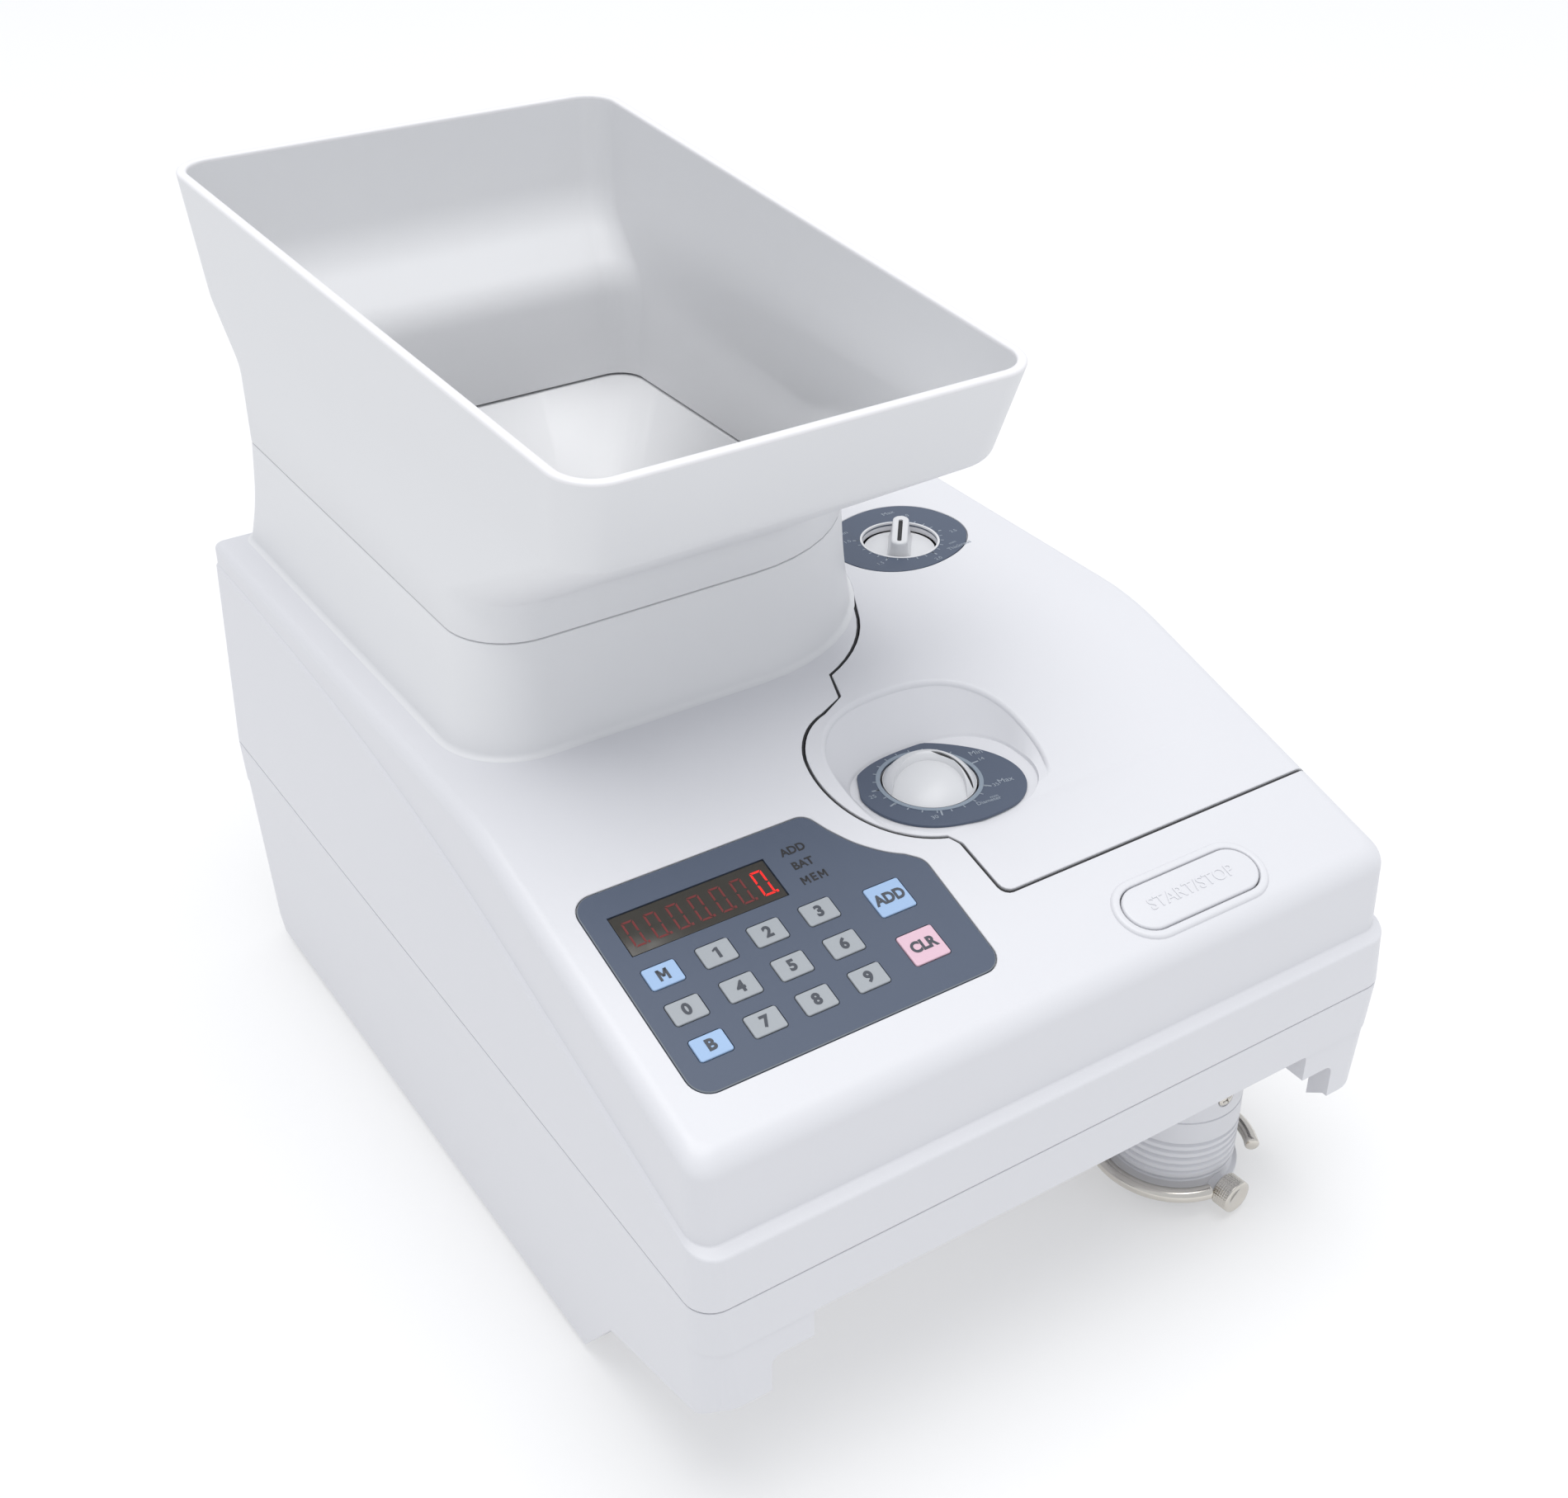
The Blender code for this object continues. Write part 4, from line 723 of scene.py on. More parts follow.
def cover_outline(grow):
    """Plan of the coin path cover; the gap line grows it on the sides that meet the upper shell.

    It steps in from the front edge, rounds the dial bowl, follows the collar's foot and ends at the
    hinge, where the gap is wider.
    """
    front = 41.2 - grow
    back = 298.5 + 2.6 * min(grow, COVER_GAP)
    points = [(126.0, front), (3.3 - grow, front), (2.9 - grow, 60.0)]
    radii = [0, 3.4, 2.0]
    steps = 30
    for i in range(steps + 1):
        t = i / steps
        radius = blend(30.8, 26.6, max(0.0, (t - 0.7) / 0.3) ** 1.5) + grow
        points.append(on_circle((9.0, 93.5), radius, math.radians(blend(-106, -237, t))))
        radii.append(0)
    points.append((3.4 - grow, 120.3))
    radii.append(1.4)
    for centre, radius, angles in (((-17.0, 184.5), 59.1, range(-66, -26, 5)),
                                   ((-12.0, 199.3), 61.7, range(-32, 1, 4))):
        for a in angles:
            points.append(on_circle(centre, radius - grow, math.radians(a)))
            radii.append(0)
    points += [(49.7 - grow, back), (126.0, back)]
    radii += [0, 0]
    return fillet(points, radii, 4)


def cover_zone(grow, flare, straight=False):
    """The space above the ledge that belongs to the cover; flare opens or closes it at the surface."""
    if straight:
        zone = loft("zone", [ring(cover_outline(grow), 100.0), ring(cover_outline(grow), 190.0)])
    else:
        rings = [ring(cover_outline(grow), 100.0)]
        for aside, down in list(rounding(LIP_R, 4))[:-1]:
            rings.append(ring(cover_outline(grow + flare * aside), above(top_z, -down)))
        for aside, up in ((LIP_R + 0.25, 0.12), (LIP_R + 0.6, 1.5)):
            rings.append(ring(cover_outline(grow + flare * aside), above(top_z, up)))
        rings.append(ring(cover_outline(grow + flare * (LIP_R + 0.6)), 190.0))
        zone = loft("zone", rings)
    plan = outline(-130, 130, -10, 330, (2,) * 4, 1, 40)
    over = loft("over", [ring(plan, above(ledge_z, 2.6 - grow)), ring(plan, 210.0)], bent=True)
    return carve(zone, over, "INTERSECT")


def hole(x, y, z0, z1, radius):
    """Round upright cutter."""
    return turned("hole", [(0, z0), (radius, z0), (radius, z1), (0, z1)], point(x, y, 0))


def recess(points, low, lip, place=point, top=0.0, high=8.0):
    """Cutter for a sunk outline whose upper edge is rounded."""
    rings = [ring(points, low)]
    rings += [ring(offset(points, aside), top - down) for aside, down in list(rounding(lip, 4))[:-1]]
    rings += [ring(offset(points, lip + 0.1), top + 0.05), ring(offset(points, lip + 0.1), high)]
    return loft("recess", rings, place=place)


def make_upper_shell():
    shell = cup("upper_casing", *upper_rings(), "shell")
    carve(shell, cover_zone(COVER_GAP, 1.0))
    carve(shell, hole(*DISC, 150, 175, THROAT_R + 3.0))
    panel = slope_frame(0, KEYPAD_Y)
    carve(shell, recess(keypad_outline(GAP), -1.5, 0.35, panel))
    left, right, lower, upper = DISPLAY
    carve(shell, box("cut", (left + 1, right - 1), (lower + 1, upper - 1), (-9, 5), place=panel))
    button = slope_frame(*BUTTON)
    carve(shell, recess(obround(23.7, 7.9), -9, 0.5, button, 0.9, 5))
    carve(shell, box("lug", (70, 92), (298.8, 309.0), (156.0, 162.3)), "UNION")
    carve(shell, box("lug", (70, 92), (302.0, 309.0), (160.0, 164.0)), "UNION")
    stand_for(settle(shell), "upper_shell", "frame")
    section = ((0, -1.0), (0, 0.5), (0.15, 0.8), (0.5, 0.95), (1.6, 0.95), (2.1, 0.8), (2.5, 0.3),
               (2.6, -1.0))
    bezel = [ring(obround(23.72 + aside, 7.92 + aside), w) for aside, w in section]
    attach(sleeve("button_bezel", bezel, "shell", 50, button), "frame")


def egg(centre, half_x, half_y, power, steps):
    """Oval that is longer towards the front."""
    oval = superellipse(centre, half_x, half_y, power, steps)
    return [(x, y if y > centre[1] else centre[1] + (y - centre[1]) * BOWL_STRETCH) for x, y in oval]


def bowl_outline(grow, steps=96):
    """Plan of the dial bowl's rim, where it runs out of the slope."""
    return egg(BOWL, BOWL_HALF[0] + grow, BOWL_HALF[1] + grow, 2.4, steps)


def bowl_hollow():
    """Cutter for the bowl: level floor, drafted wall and a soft rim that follows the slope."""
    rim_r = 1.6
    floor, edge = egg(BOWL_FLOOR, *BOWL_FLOOR_HALF, BOWL_FLOOR_POWER, 96), bowl_outline(-0.5)
    rings = [ring(floor, BOWL_FLOOR_Z)]
    for up, along in ((0.12, 0.02), (0.5, 0.045), (1.1, 0.085)):
        plan = [(blend(a[0], b[0], along), blend(a[1], b[1], along)) for a, b in zip(floor, edge)]
        rings.append(ring(plan, BOWL_FLOOR_Z + up))
    for aside, down in list(rounding(rim_r, 7))[:-1]:
        rings.append(ring(bowl_outline(-0.5 + aside), lambda y, d=down:
                          max(BOWL_FLOOR_Z + 1.6 - 0.1 * d, top_z(y) - d)))
    rings.append(ring(bowl_outline(rim_r), lambda y: max(BOWL_FLOOR_Z + 2.0, top_z(y) + 0.1)))
    rings.append(ring(bowl_outline(rim_r), 180.0))
    return loft("hollow", rings)


def make_cover():
    """Hinged cover over the coin path, with the bowl of the diameter dial sunk into it."""
    outer, inner = upper_rings()
    cover = cup("path_cover", outer, inner, "shell")
    carve(cover, cover_zone(0.0, -1.0), "INTERSECT")
    bowl = prism("bowl", bowl_outline(3.0, 48), BOWL_FLOOR_Z - WALL, 172)
    limit = loft("limit", [ring(body_outline(6.0), 100.0), ring(body_outline(6.0), above(top_z, -0.9))],
                 bent=True)
    carve(bowl, limit, "INTERSECT")
    carve(bowl, prism("limit", cover_outline(-0.9), 100, 190), "INTERSECT")
    carve(cover, bowl, "UNION")
    carve(cover, bowl_hollow())
    carve(cover, hole(*DIAMETER_DIAL, 130, 170, DIAMETER_KNOB_R + 0.7))
    carve(cover, hole(*THICKNESS_DIAL, 150, 180, THICKNESS_HOLE_R))
    carve(cover, recess(thickness_plate_outline(GAP), TOP_Z - 1.1, 0.3, point, TOP_Z, 175))
    swing_room = [(40.0, 134.0), (41.2, 134.0), (43.8, 115.0), (40.0, 115.0)]
    carve(cover, prism("swing", swing_room, 111, 126, place=from_side))
    for x in (61.0, 101.0):
        carve(cover, box("block", (x - 6, x + 6), (290.0, 298.2), (156.0, 164.0)), "UNION")
        web = [(296.0, 156.0)] + [on_circle((HINGE_Y, HINGE_Z), 3.0, math.radians(-90 + 12 * i))
                                  for i in range(16)] + [(296.0, 162.0)]
        carve(cover, prism("web", web, x - 6, x + 6, place=from_side), "UNION")
    stand_for(settle(cover), "coin_path_cover", "cover")


def base_plan(inset, z):
    """Plan of the base at a height; its sides lean in towards the feet and its ends stand straight."""
    lean = BASE_DRAFT * (SEAM_Z - z) / (SEAM_Z - SKIRT_Z)
    half = WIDTH / 2 - lean - inset
    near, far = CORNER_R + lean * 1.3 - inset, REAR_CORNER_R - inset
    return ring(outline(-half, half, inset, BODY_DEPTH - inset, (near, far, far, near), 8, 12), z)


def make_base():
    """Base: a raised front part on skirts and a rear block that stands on the feet."""
    top = SEAM_Z - GAP / 2
    rings = [base_plan(1.6, SKIRT_Z), base_plan(0.75, SKIRT_Z + 0.4), base_plan(0.35, SKIRT_Z + 1.6),
             base_plan(0.35, 71.4), base_plan(0.0, 71.8), base_plan(0.0, top - 0.45),
             base_plan(0.1, top - 0.12), base_plan(0.4, top)]
    base = loft("base_casing", rings, "shell", bent=True)
    side_view = fillet([(-10, -5), (-10, 49.5), (2.0, 49.5), (8, 45), (56, 30), (74, 6), (80, SKIRT_Z - 3),
                        (308, SKIRT_Z - 3), (314, 10), (330, 14), (330, -5)],
                       [0, 0, 0, 3, 3, 2.5, 0, 0, 3, 0, 0], 5)
    carve(base, prism("side", side_view, -130, 130, place=from_side))
    carve(base, loft("room", [base_plan(WALL, FRONT_FLOOR_Z + WALL), base_plan(WALL, 95)], bent=True))
    half = WIDTH / 2 - BASE_DRAFT - WALL
    rear = []
    for grow, z in ((0, REAR_FLOOR_Z + WALL), (3, FRONT_FLOOR_Z + WALL + 1)):
        plan = outline(-half - grow, half + grow, FRONT_FLOOR_END + WALL, BODY_DEPTH - WALL, (8,) * 4, 3, 6)
        rear.append(ring(plan, z))
    carve(base, loft("room", rear, bent=True))
    opening = fillet([(-99, -5), (-99, 62), (-86, 62), (-86, FRONT_FLOOR_Z), (90, FRONT_FLOOR_Z), (90, 62),
                      (102.6, 62), (102.6, -5)], [0, 3.0, 0, 2.0, 2.0, 0, 3.0, 0], 5)
    carve(base, prism("under", opening, -5, 20, place=from_front))
    carve(base, box("under", (-half, half), (8, FRONT_FLOOR_END), (-5, FRONT_FLOOR_Z)))
    carve(base, box("under", (-half, half), (FRONT_FLOOR_END + 6, 305), (-5, REAR_FLOOR_Z)))
    carve(base, hole(*TUBE, 60, 90, TUBE_R + 0.8))
    left, right, lower, upper = REAR_PANEL
    carve(base, box("cut", (left - GAP, right + GAP), (310, 325), (lower - GAP, upper + GAP)))
    stand_for(settle(base), "base_shell", "frame")


def make_gap_shade_strip():
    """Black strip that lines the opening of the upper shell, just below the surface of the gap: painted
    shade.
    """
    behind, under = 0.3, 0.32               # how far it lies behind the side and under the top
    sides = ((0.8, 0.8, REAR_LEAN, above(ledge_z, -2.0)),
             (4.2, 2.2, REAR_LEAN + 0.6, above(ledge_z, 1.6)),
             (FRONT_INSET, SIDE_INSET, REAR_INSET, below(top_z, EDGE_R, REAR_EDGE_R)))
    outer = [ring(body_outline((front + behind, side + behind, rear + behind)), height)
             for front, side, rear, height in sides]
    for aside, down in list(rounding(1.0, 9))[1:]:
        insets = tuple(inset + behind + (radius - behind) * aside
                       for inset, radius in ((FRONT_INSET, EDGE_R), (SIDE_INSET, EDGE_R),
                                             (REAR_INSET, REAR_EDGE_R)))
        sunk = under * (1 - down)
        height = below(top_z, EDGE_R * down + sunk, REAR_EDGE_R * down + sunk)
        outer.append(ring(body_outline(insets), height))
    inner = [ring(body_outline((WALL + 0.4, WALL + 0.4, WALL + REAR_LEAN - 0.4)), above(ledge_z, -2.2))]
    inner += upper_rings()[1][2:]
    # the rubber finish here is painted shade: a black strip where the gap shows only shadow
    shade_strip = cup("gap_painted_shade", outer, inner, "rubber")
    carve(shade_strip, cover_zone(COVER_GAP + 0.05, 1.0, True), "INTERSECT")
    carve(shade_strip, cover_zone(0.42, 0.0, True))
    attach(shade_strip, "frame")


def make_rear_panel():
    """Plate in the back of the base, with openings for the inlet, the switch and the fuse cap."""
    left, right, lower, upper = REAR_PANEL

    def from_behind(x, z, y):
        return point(x, -y, z)

    plan = fillet([(left, lower), (right, lower), (right, upper), (left, upper)], (0.6,) * 4, 3)
    plate = prism("connector_panel", plan, -BODY_DEPTH, WALL - BODY_DEPTH, "shell", place=from_behind)
    for x0, x1, z0, z1 in ((-89, -61, 28, 48), (-49, -29, 29, 43), (-17, -5, 30, 42)):
        carve(plate, box("cut", (x0, x1), (z0, z1), (310, 325), place=from_front))
    stand_for(settle(plate), "rear_panel", "frame")


# ====================================================================================================
# Hopper
# ====================================================================================================
def collar_plan(flare, inset, height):
    """Plan of the collar; flare 0 is its top and 1 its foot."""
    x0, x1 = blend(-101.0, -105.3, flare) + inset, blend(44.5, 48.0, flare) - inset
    y0, y1 = blend(141.5, 139.3, flare) + inset, blend(312.0, 313.0, flare) - inset
    radii = [max(r - inset, 2.0) for r in (20 + 2 * flare, 6, 15, 57 + 3 * flare)]
    plan = [(min(x, 48.5), min(y, 313.4)) for x, y in outline(x0, x1, y0, y1, radii, 12, 24)]
    return ring(plan, height)


def tray_plan(front, back, inset, radius, drop=0.0):
    """Plan of the tray between a front and a back edge given as (y, half width, z)."""
    (y0, half0, z0), (y1, half1, z1) = front, back
    middle = (half0 + half1) / 2
    flat = outline(-middle + inset, middle - inset, y0 + inset, y1 - inset, (radius,) * 4, 12, 24)
    points = []
    for x, y in flat:
        t = (y - y0) / (y1 - y0)
        points.append((DISC[0] + x * blend(half0, half1, t) / middle, y, blend(z0, z1, t) - drop))
    return points


def neck_tilt(front, back):
    return lambda y: blend(front, back, (y - 143.0) / 157.0)


def soften(rings, reaches, steps=6):
    """Replace a ring by a curve between points a reach away on the rings before and after it."""
    made = [rings[0]]
    for before, here, after, reach in zip(rings, rings[1:], rings[2:], reaches):
        if not reach:
            made.append(here)
            continue
        for k in range(steps + 1):
            t = k / steps
            curve = []
            for a, b, c in zip(before, here, after):
                a, b, c = Vector(a), Vector(b), Vector(c)
                start = b + (a - b) * min(reach / max((a - b).length, 0.01), 0.49)
                end = b + (c - b) * min(reach / max((c - b).length, 0.01), 0.49)
                curve.append(tuple(start * (1 - t) ** 2 + b * 2 * t * (1 - t) + end * t ** 2))
            made.append(curve)
    made.append(rings[-1])
    return made


def make_collar():
    """Collar under the tray, flared at its foot, which meets the top in a small fillet."""
    foot, top, root = TOP_Z + 0.02, COLLAR_TOP_Z, 1.8
    rings = [collar_plan(1.0, -root * 0.98, foot - 0.4)]
    for i in range(7):
        a = math.pi / 2 * i / 6
        rings.append(collar_plan(1.0, -root * (1 - math.sin(a)), foot + root * (1 - math.cos(a))))
    side = [collar_plan(1.0, 0, foot + root), collar_plan(0.35, 0, 180), collar_plan(0, 0, top - 0.5)]
    rings += soften(side, [9], 5)[1:]
    rings += [collar_plan(0, 0.12, top - 0.15), collar_plan(0, 0.45, top), collar_plan(0, 3, top),
              collar_plan(0.35, 3, 180), collar_plan(1.0, 3, foot - 0.4)]
    # the collar's lighter hopper finish is partly painted fill light for its shade under the tray
    stand_for(sleeve("collar", rings, "hopper", 40), "hopper_collar", "frame")


def make_tray():
    """Lift-off hopper tray: neck, sloping underside, flared walls, a rounded rim and an open bottom."""
    seam = COLLAR_TOP_Z + GAP
    wall, corner = TRAY_WALL, 13.0
    bottom_front, bottom_back = (92.5, 66.5, 243.5), (330.0, 75.0, 246.0)

    def at_rim(inset, drop):
        return tray_plan(RIM_FRONT, RIM_BACK, inset, corner - inset, drop)

    outside = soften([collar_plan(0, 0.0, seam + 0.5), collar_plan(0, 0, neck_tilt(212.0, 226.0)),
                      tray_plan(bottom_front, bottom_back, 0, corner), at_rim(0.05, 1.0)], [4.0, 2.6], 8)
    rim = [at_rim(i, d) for i, d in ((0.0, 0.7), (0.12, 0.3), (0.4, 0.06), (0.8, 0.0), (2.2, 0.0),
                                     (2.6, 0.06), (2.88, 0.3), (3.0, 0.8))]
    inside = soften([at_rim(wall, 1.2), tray_plan(bottom_front, bottom_back, wall, corner - wall, -3.2),
                     collar_plan(0, wall, neck_tilt(214.5, 228.5)), collar_plan(0, 5.4, seam + 1.0)],
                    [9.0, 7.0], 8)
    spigot = [collar_plan(0, 5.4, seam - 6.0), collar_plan(0, 3.4, seam - 6.0), collar_plan(0, 3.4, seam),
              collar_plan(0, 0.45, seam), collar_plan(0, 0.12, seam + 0.15)]
    tray = sleeve("tray", outside + rim + inside + spigot, "hopper", 40)
    # the rim's top band takes the lighter rim finish, a painted highlight
    tray.data.materials.append(FINISHES["rim"])
    around = len(rim[0])
    first = (len(outside) - 1) * around
    for face in tray.data.polygons:
        if first <= face.index < first + (len(rim) + 1) * around:
            face.material_index = 1
    stand_for(tray, "hopper_tray", "tray")


def on_ray(points, centre, angle):
    """Where a ray from the centre leaves a closed outline."""
    way = Vector((math.cos(angle), math.sin(angle)))
    for i, (x, y) in enumerate(points):
        a = Vector((points[i - 1][0] - centre[0], points[i - 1][1] - centre[1]))
        b = Vector((x - centre[0], y - centre[1]))
        spread = way.x * (b.y - a.y) - way.y * (b.x - a.x)
        if abs(spread) < 1e-9:
            continue
        t = (a.y * way.x - a.x * way.y) / -spread
        place = a + (b - a) * t
        if -1e-9 <= t <= 1 + 1e-9 and place.dot(way) > 0:
            return centre[0] + place.x, centre[1] + place.y
    raise ValueError("the centre lies outside the outline")


def make_funnel(steps=144):
    """Throat between the square collar and the round disc bowl."""
    angles = [math.tau * i / steps for i in range(steps)]

    def square(inset, z):
        plan = [(p[0], p[1]) for p in collar_plan(0, inset, 0)]
        return ring([on_ray(plan, DISC, a) for a in angles], z)

    def round_at(radius, z):
        return ring([on_circle(DISC, radius, a) for a in angles], z)

    rings = [square(3.9, 193.5), round_at(THROAT_R + 2, 171), round_at(THROAT_R + 2, 158.8)]
    rings += soften([round_at(THROAT_R, 158.8), round_at(THROAT_R, 170), square(5.9, 193.5)], [5.0], 6)
    stand_for(sleeve("funnel", rings, "hopper", 40), "hopper_funnel", "frame")


def make_feed_disc():
    """Turning disc at the bottom of the throat, with a ribbed rubber face and a centre cap."""
    profile = [(0, 139), (6, 138.9), (8.4, 138.3), (10.0, 136.5), (11.4, 134.6), (13.5, 133.5)]
    for i in range(6):
        r = 20 + 7.2 * i
        profile += [(r - 0.9, 133.5), (r - 0.5, 132.9), (r + 0.5, 132.9), (r + 0.9, 133.5)]
    profile += [(62.7, 133.5), (63.3, 133.1), (63.5, 132.4), (63.5, 128.5), (0, 128.5)]
    disc = turned("turning_disc", profile, point(*DISC, 0), finish="rubber", steps=120)
    stand_for(disc, "feed_disc", "disc")
    bm = bmesh.new()
    for i in range(3):
        x, y = on_circle(DISC, 42.0, math.tau * (i + 0.2) / 3)
        stud = ((3.2, 133.2), (3.2, 134.6), (2.9, 135.0), (2.0, 135.2))
        add_stack(bm, [ring(circle((x, y), r, 24), z) for r, z in stud])
    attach(piece("disc_studs", bm, "aluminium"), "disc")


# ====================================================================================================
# Keypad
# ====================================================================================================
def keypad_outline(grow=0.0):
    """Panel outline on the slope, with a scoop at its upper right for the dial bowl."""
    left, right, lower, upper = KEYPAD
    scoop = [(-14.5, 42.8), (-19.4, 46.2), (-25.2, 52.3), (-29.6, 59.7)]
    smooth_scoop = []
    for i in range(len(scoop) - 1):
        before = Vector(scoop[max(i - 1, 0)])
        a, b = Vector(scoop[i]), Vector(scoop[i + 1])
        after = Vector(scoop[min(i + 2, len(scoop) - 1)])
        for k in range(5):
            t = k / 5
            smooth_scoop.append(tuple(0.5 * ((2 * a) + (b - before) * t
                                             + (2 * before - 5 * a + 4 * b - after) * t ** 2
                                             + (3 * a - before - 3 * b + after) * t ** 3)))
    smooth_scoop.append(scoop[-1])
    corners = [(left, lower), (right - 1.2, lower), (right, 39.0)] + smooth_scoop
    corners += [(-32.6, upper), (left, upper)]
    radii = [6, 6, 5] + [0] * len(smooth_scoop) + [4.5, 6]
    points = fillet(corners, radii, 8)
    return offset(points, grow) if grow else points


def key_places():
    """Every key: name, place on the panel, size and finish."""
    places = []
    for row, names in zip(KEY_ROWS, KEY_NAMES):
        for column, name in zip(KEY_COLUMNS, names):
            places.append((name, column, row, KEY_SIZE, "key_grey" if name.isdigit() else "key_blue"))
    for (name, (u, v)), colour in zip(BIG_KEYS.items(), ("key_blue", "key_pink")):
        places.append((name, u, v, BIG_KEY_SIZE, colour))
    return places


def make_keys():
    for name, u, v, (width, height), colour in key_places():
        local = slope_frame(u, KEYPAD_Y + v * math.cos(SLOPE_ANGLE))
        half_u, half_v = width / 2, height / 2

        def plan(inset):
            return outline(-half_u + inset, half_u - inset, -half_v + inset, half_v - inset,
                           (max(0.7 - inset, 0.25),) * 4, 4)

        rings = [ring(plan(0.0), -1.0), ring(plan(0.0), -0.02)]
        rings += [ring(plan(aside), 0.36 - down) for aside, down in rounding(0.34, 4)]
        rings += [ring(plan(0.75), 0.33), ring(plan(1.05), 0.31)]
        key = loft(f"cap_{name}", rings, colour, 50, local)
        stand_for(key, f"key_{name}", f"key_{name}_cap")
        bm = bmesh.new()
        if name == "1":
            bars(bm, local, [[(-0.05, -1.7), (0.8, -1.7), (0.8, 1.7), (0.1, 1.7), (-0.05, 1.5)],
                             [(-0.9, 0.65), (-0.9, 1.15), (0.1, 1.7), (-0.05, 0.98)]], 0.2, 0.42)
        elif name == "M":
            bars(bm, local, letter_m(0.0, 0.0, 3.5, 0.75), 0.2, 0.42)
        else:
            letters(bm, name, local, 3.4, low=0.2, high=0.42, bold=0.19,
                    stretch=1.02 if len(name) == 1 else 0.92)
        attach(piece(f"legend_{name}", bm, "legend", 30), f"key_{name}_cap")


def digit_quads(u, v, half_width, half_height, thick):
    """The six outer bars of a figure 0 and its decimal point."""
    cut = 0.22
    top = [(-half_width + cut, half_height), (half_width - cut, half_height),
           (half_width - thick - cut, half_height - thick), (-half_width + thick + cut, half_height - thick)]
    side = [(half_width, half_height - cut), (half_width, cut), (half_width - thick, cut + thick * 0.5),
            (half_width - thick, half_height - thick - cut)]
    shapes = [top, [(x, -y) for x, y in top]]
    for sx in (1, -1):
        for sy in (1, -1):
            shapes.append([(x * sx, y * sy) for x, y in side])
    dot = half_width + 0.55
    shapes.append([(dot - 0.35, -half_height), (dot + 0.35, -half_height), (dot + 0.35, -half_height + 0.8),
                   (dot - 0.35, -half_height + 0.8)])
    return [[(u + x, v + y) for x, y in shape] for shape in shapes]


def make_keypad():
    panel = slope_frame(0, KEYPAD_Y)
    points = keypad_outline()
    rings = [ring(points, -1.2), ring(points, -0.25), ring(offset(points, -0.25), 0.0)]
    plate = loft("panel", rings, "film", 40, panel)
    # the panel's chamfer takes the lighter edge colour, a painted highlight
    plate.data.materials.append(FINISHES["film_edge_painted_highlight"])
    around = len(points)
    for face in plate.data.polygons:
        if around <= face.index < 2 * around:
            face.material_index = 1
    left, right, lower, upper = DISPLAY
    carve(plate, box("cut", (left, right), (lower, upper), (-3, 3), place=panel))
    for name, u, v, (width, height), colour in key_places():
        half_u, half_v = width / 2 + GAP, height / 2 + GAP
        carve(plate, prism("cut", outline(u - half_u, u + half_u, v - half_v, v + half_v, (1.2,) * 4, 4),
                           -3, 3, place=panel))
    stand_for(settle(plate, 20), "keypad_panel", "frame")

    window = prism("window", fillet([(left + GAP, lower + GAP), (right - GAP, lower + GAP),
                                     (right - GAP, upper - GAP), (left + GAP, upper - GAP)], (0.3,) * 4, 3),
                   -1.1, -0.25, "window", 40, panel, 0.12)
    stand_for(window, "display_window", "frame")
    middle = (lower + upper) / 2 - 0.2
    dim, lit = bmesh.new(), bmesh.new()
    for i in range(7):
        target = lit if i == 6 else dim
        bars(target, panel, digit_quads(left + 4.3 + 6.55 * i, middle, 1.8, 4.25, 0.6), -0.4, -0.2)
    for name, bm, colour in (("digits_off", dim, "digit_dim"), ("digit_on", lit, "digit_lit")):
        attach(piece(name, bm, colour, 30), "frame")
    bm = bmesh.new()
    for text, u, v in (("ADD", -42.2, 56.2), ("BAT", -42.2, 50.9), ("E", -42.0, 45.6)):
        letters(bm, text, panel, 2.6, u, v + 1.2, -0.1, 0.06, 0.1, 1.0)
    for u in (-44.7, -39.2):
        bars(bm, panel, letter_m(u, 46.8, 2.6, 0.5), -0.1, 0.06)
    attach(piece("panel_labels", bm, "label_black", 30), "frame")


def make_start_button():
    local = slope_frame(*BUTTON)
    rings = [ring(obround(25.2, 8.9), -5.0), ring(obround(25.2, 8.9), -3.2), ring(obround(23.3, 7.5), -3.2)]
    rings += [ring(obround(23.3 - aside, 7.5 - aside), 1.15 - down) for aside, down in rounding(0.8, 5)]
    button = loft("start_key", rings, "shell", 40, local)
    stand_for(button, "start_stop_button", "start_button")
    bm = bmesh.new()
    letters(bm, "START/STOP", local, 4.0, low=1.0, high=1.4, bold=0.02, stretch=1.0)
    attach(piece("start_lettering", bm, "shell", 30), "start_button")


# ====================================================================================================
# Dials and knobs
# ====================================================================================================
def diameter_plate_outline(grow=0.0, steps=96):
    """Round plate drawn out to a soft point on one side, and kept within the bowl's floor."""
    plan = []
    for i in range(steps):
        a = math.tau * i / steps
        radius = 21.2 + 7.0 * max(0.0, math.cos(a)) ** 3 + grow
        plan.append((max(radius * math.cos(a), -20.4 - grow), radius * math.sin(a)))
    half_x, half_y = BOWL_FLOOR_HALF[0] - 0.6, BOWL_FLOOR_HALF[1] - 0.6
    power = BOWL_FLOOR_POWER
    points = []
    for x, y in turned_plan(plan, (10.6 - BOWL_FLOOR[0], 86.0 - BOWL_FLOOR[1]), math.radians(-29.0)):
        reach = abs(x / half_x) ** power + abs(y / (half_y if y > 0 else half_y * BOWL_STRETCH)) ** power
        inside = min(1.0, reach ** (-1 / power))
        points.append((BOWL_FLOOR[0] + x * inside, BOWL_FLOOR[1] + y * inside))
    return points


def thickness_plate_outline(grow=0.0, steps=96):
    """Oval plate, cut off beside the collar."""
    oval = superellipse((75.5, 192.2), 24.6 + grow, 21.4 + grow, 2.2, steps, math.radians(14))
    return [(max(x, 51.2 - grow), y) for x, y in oval]


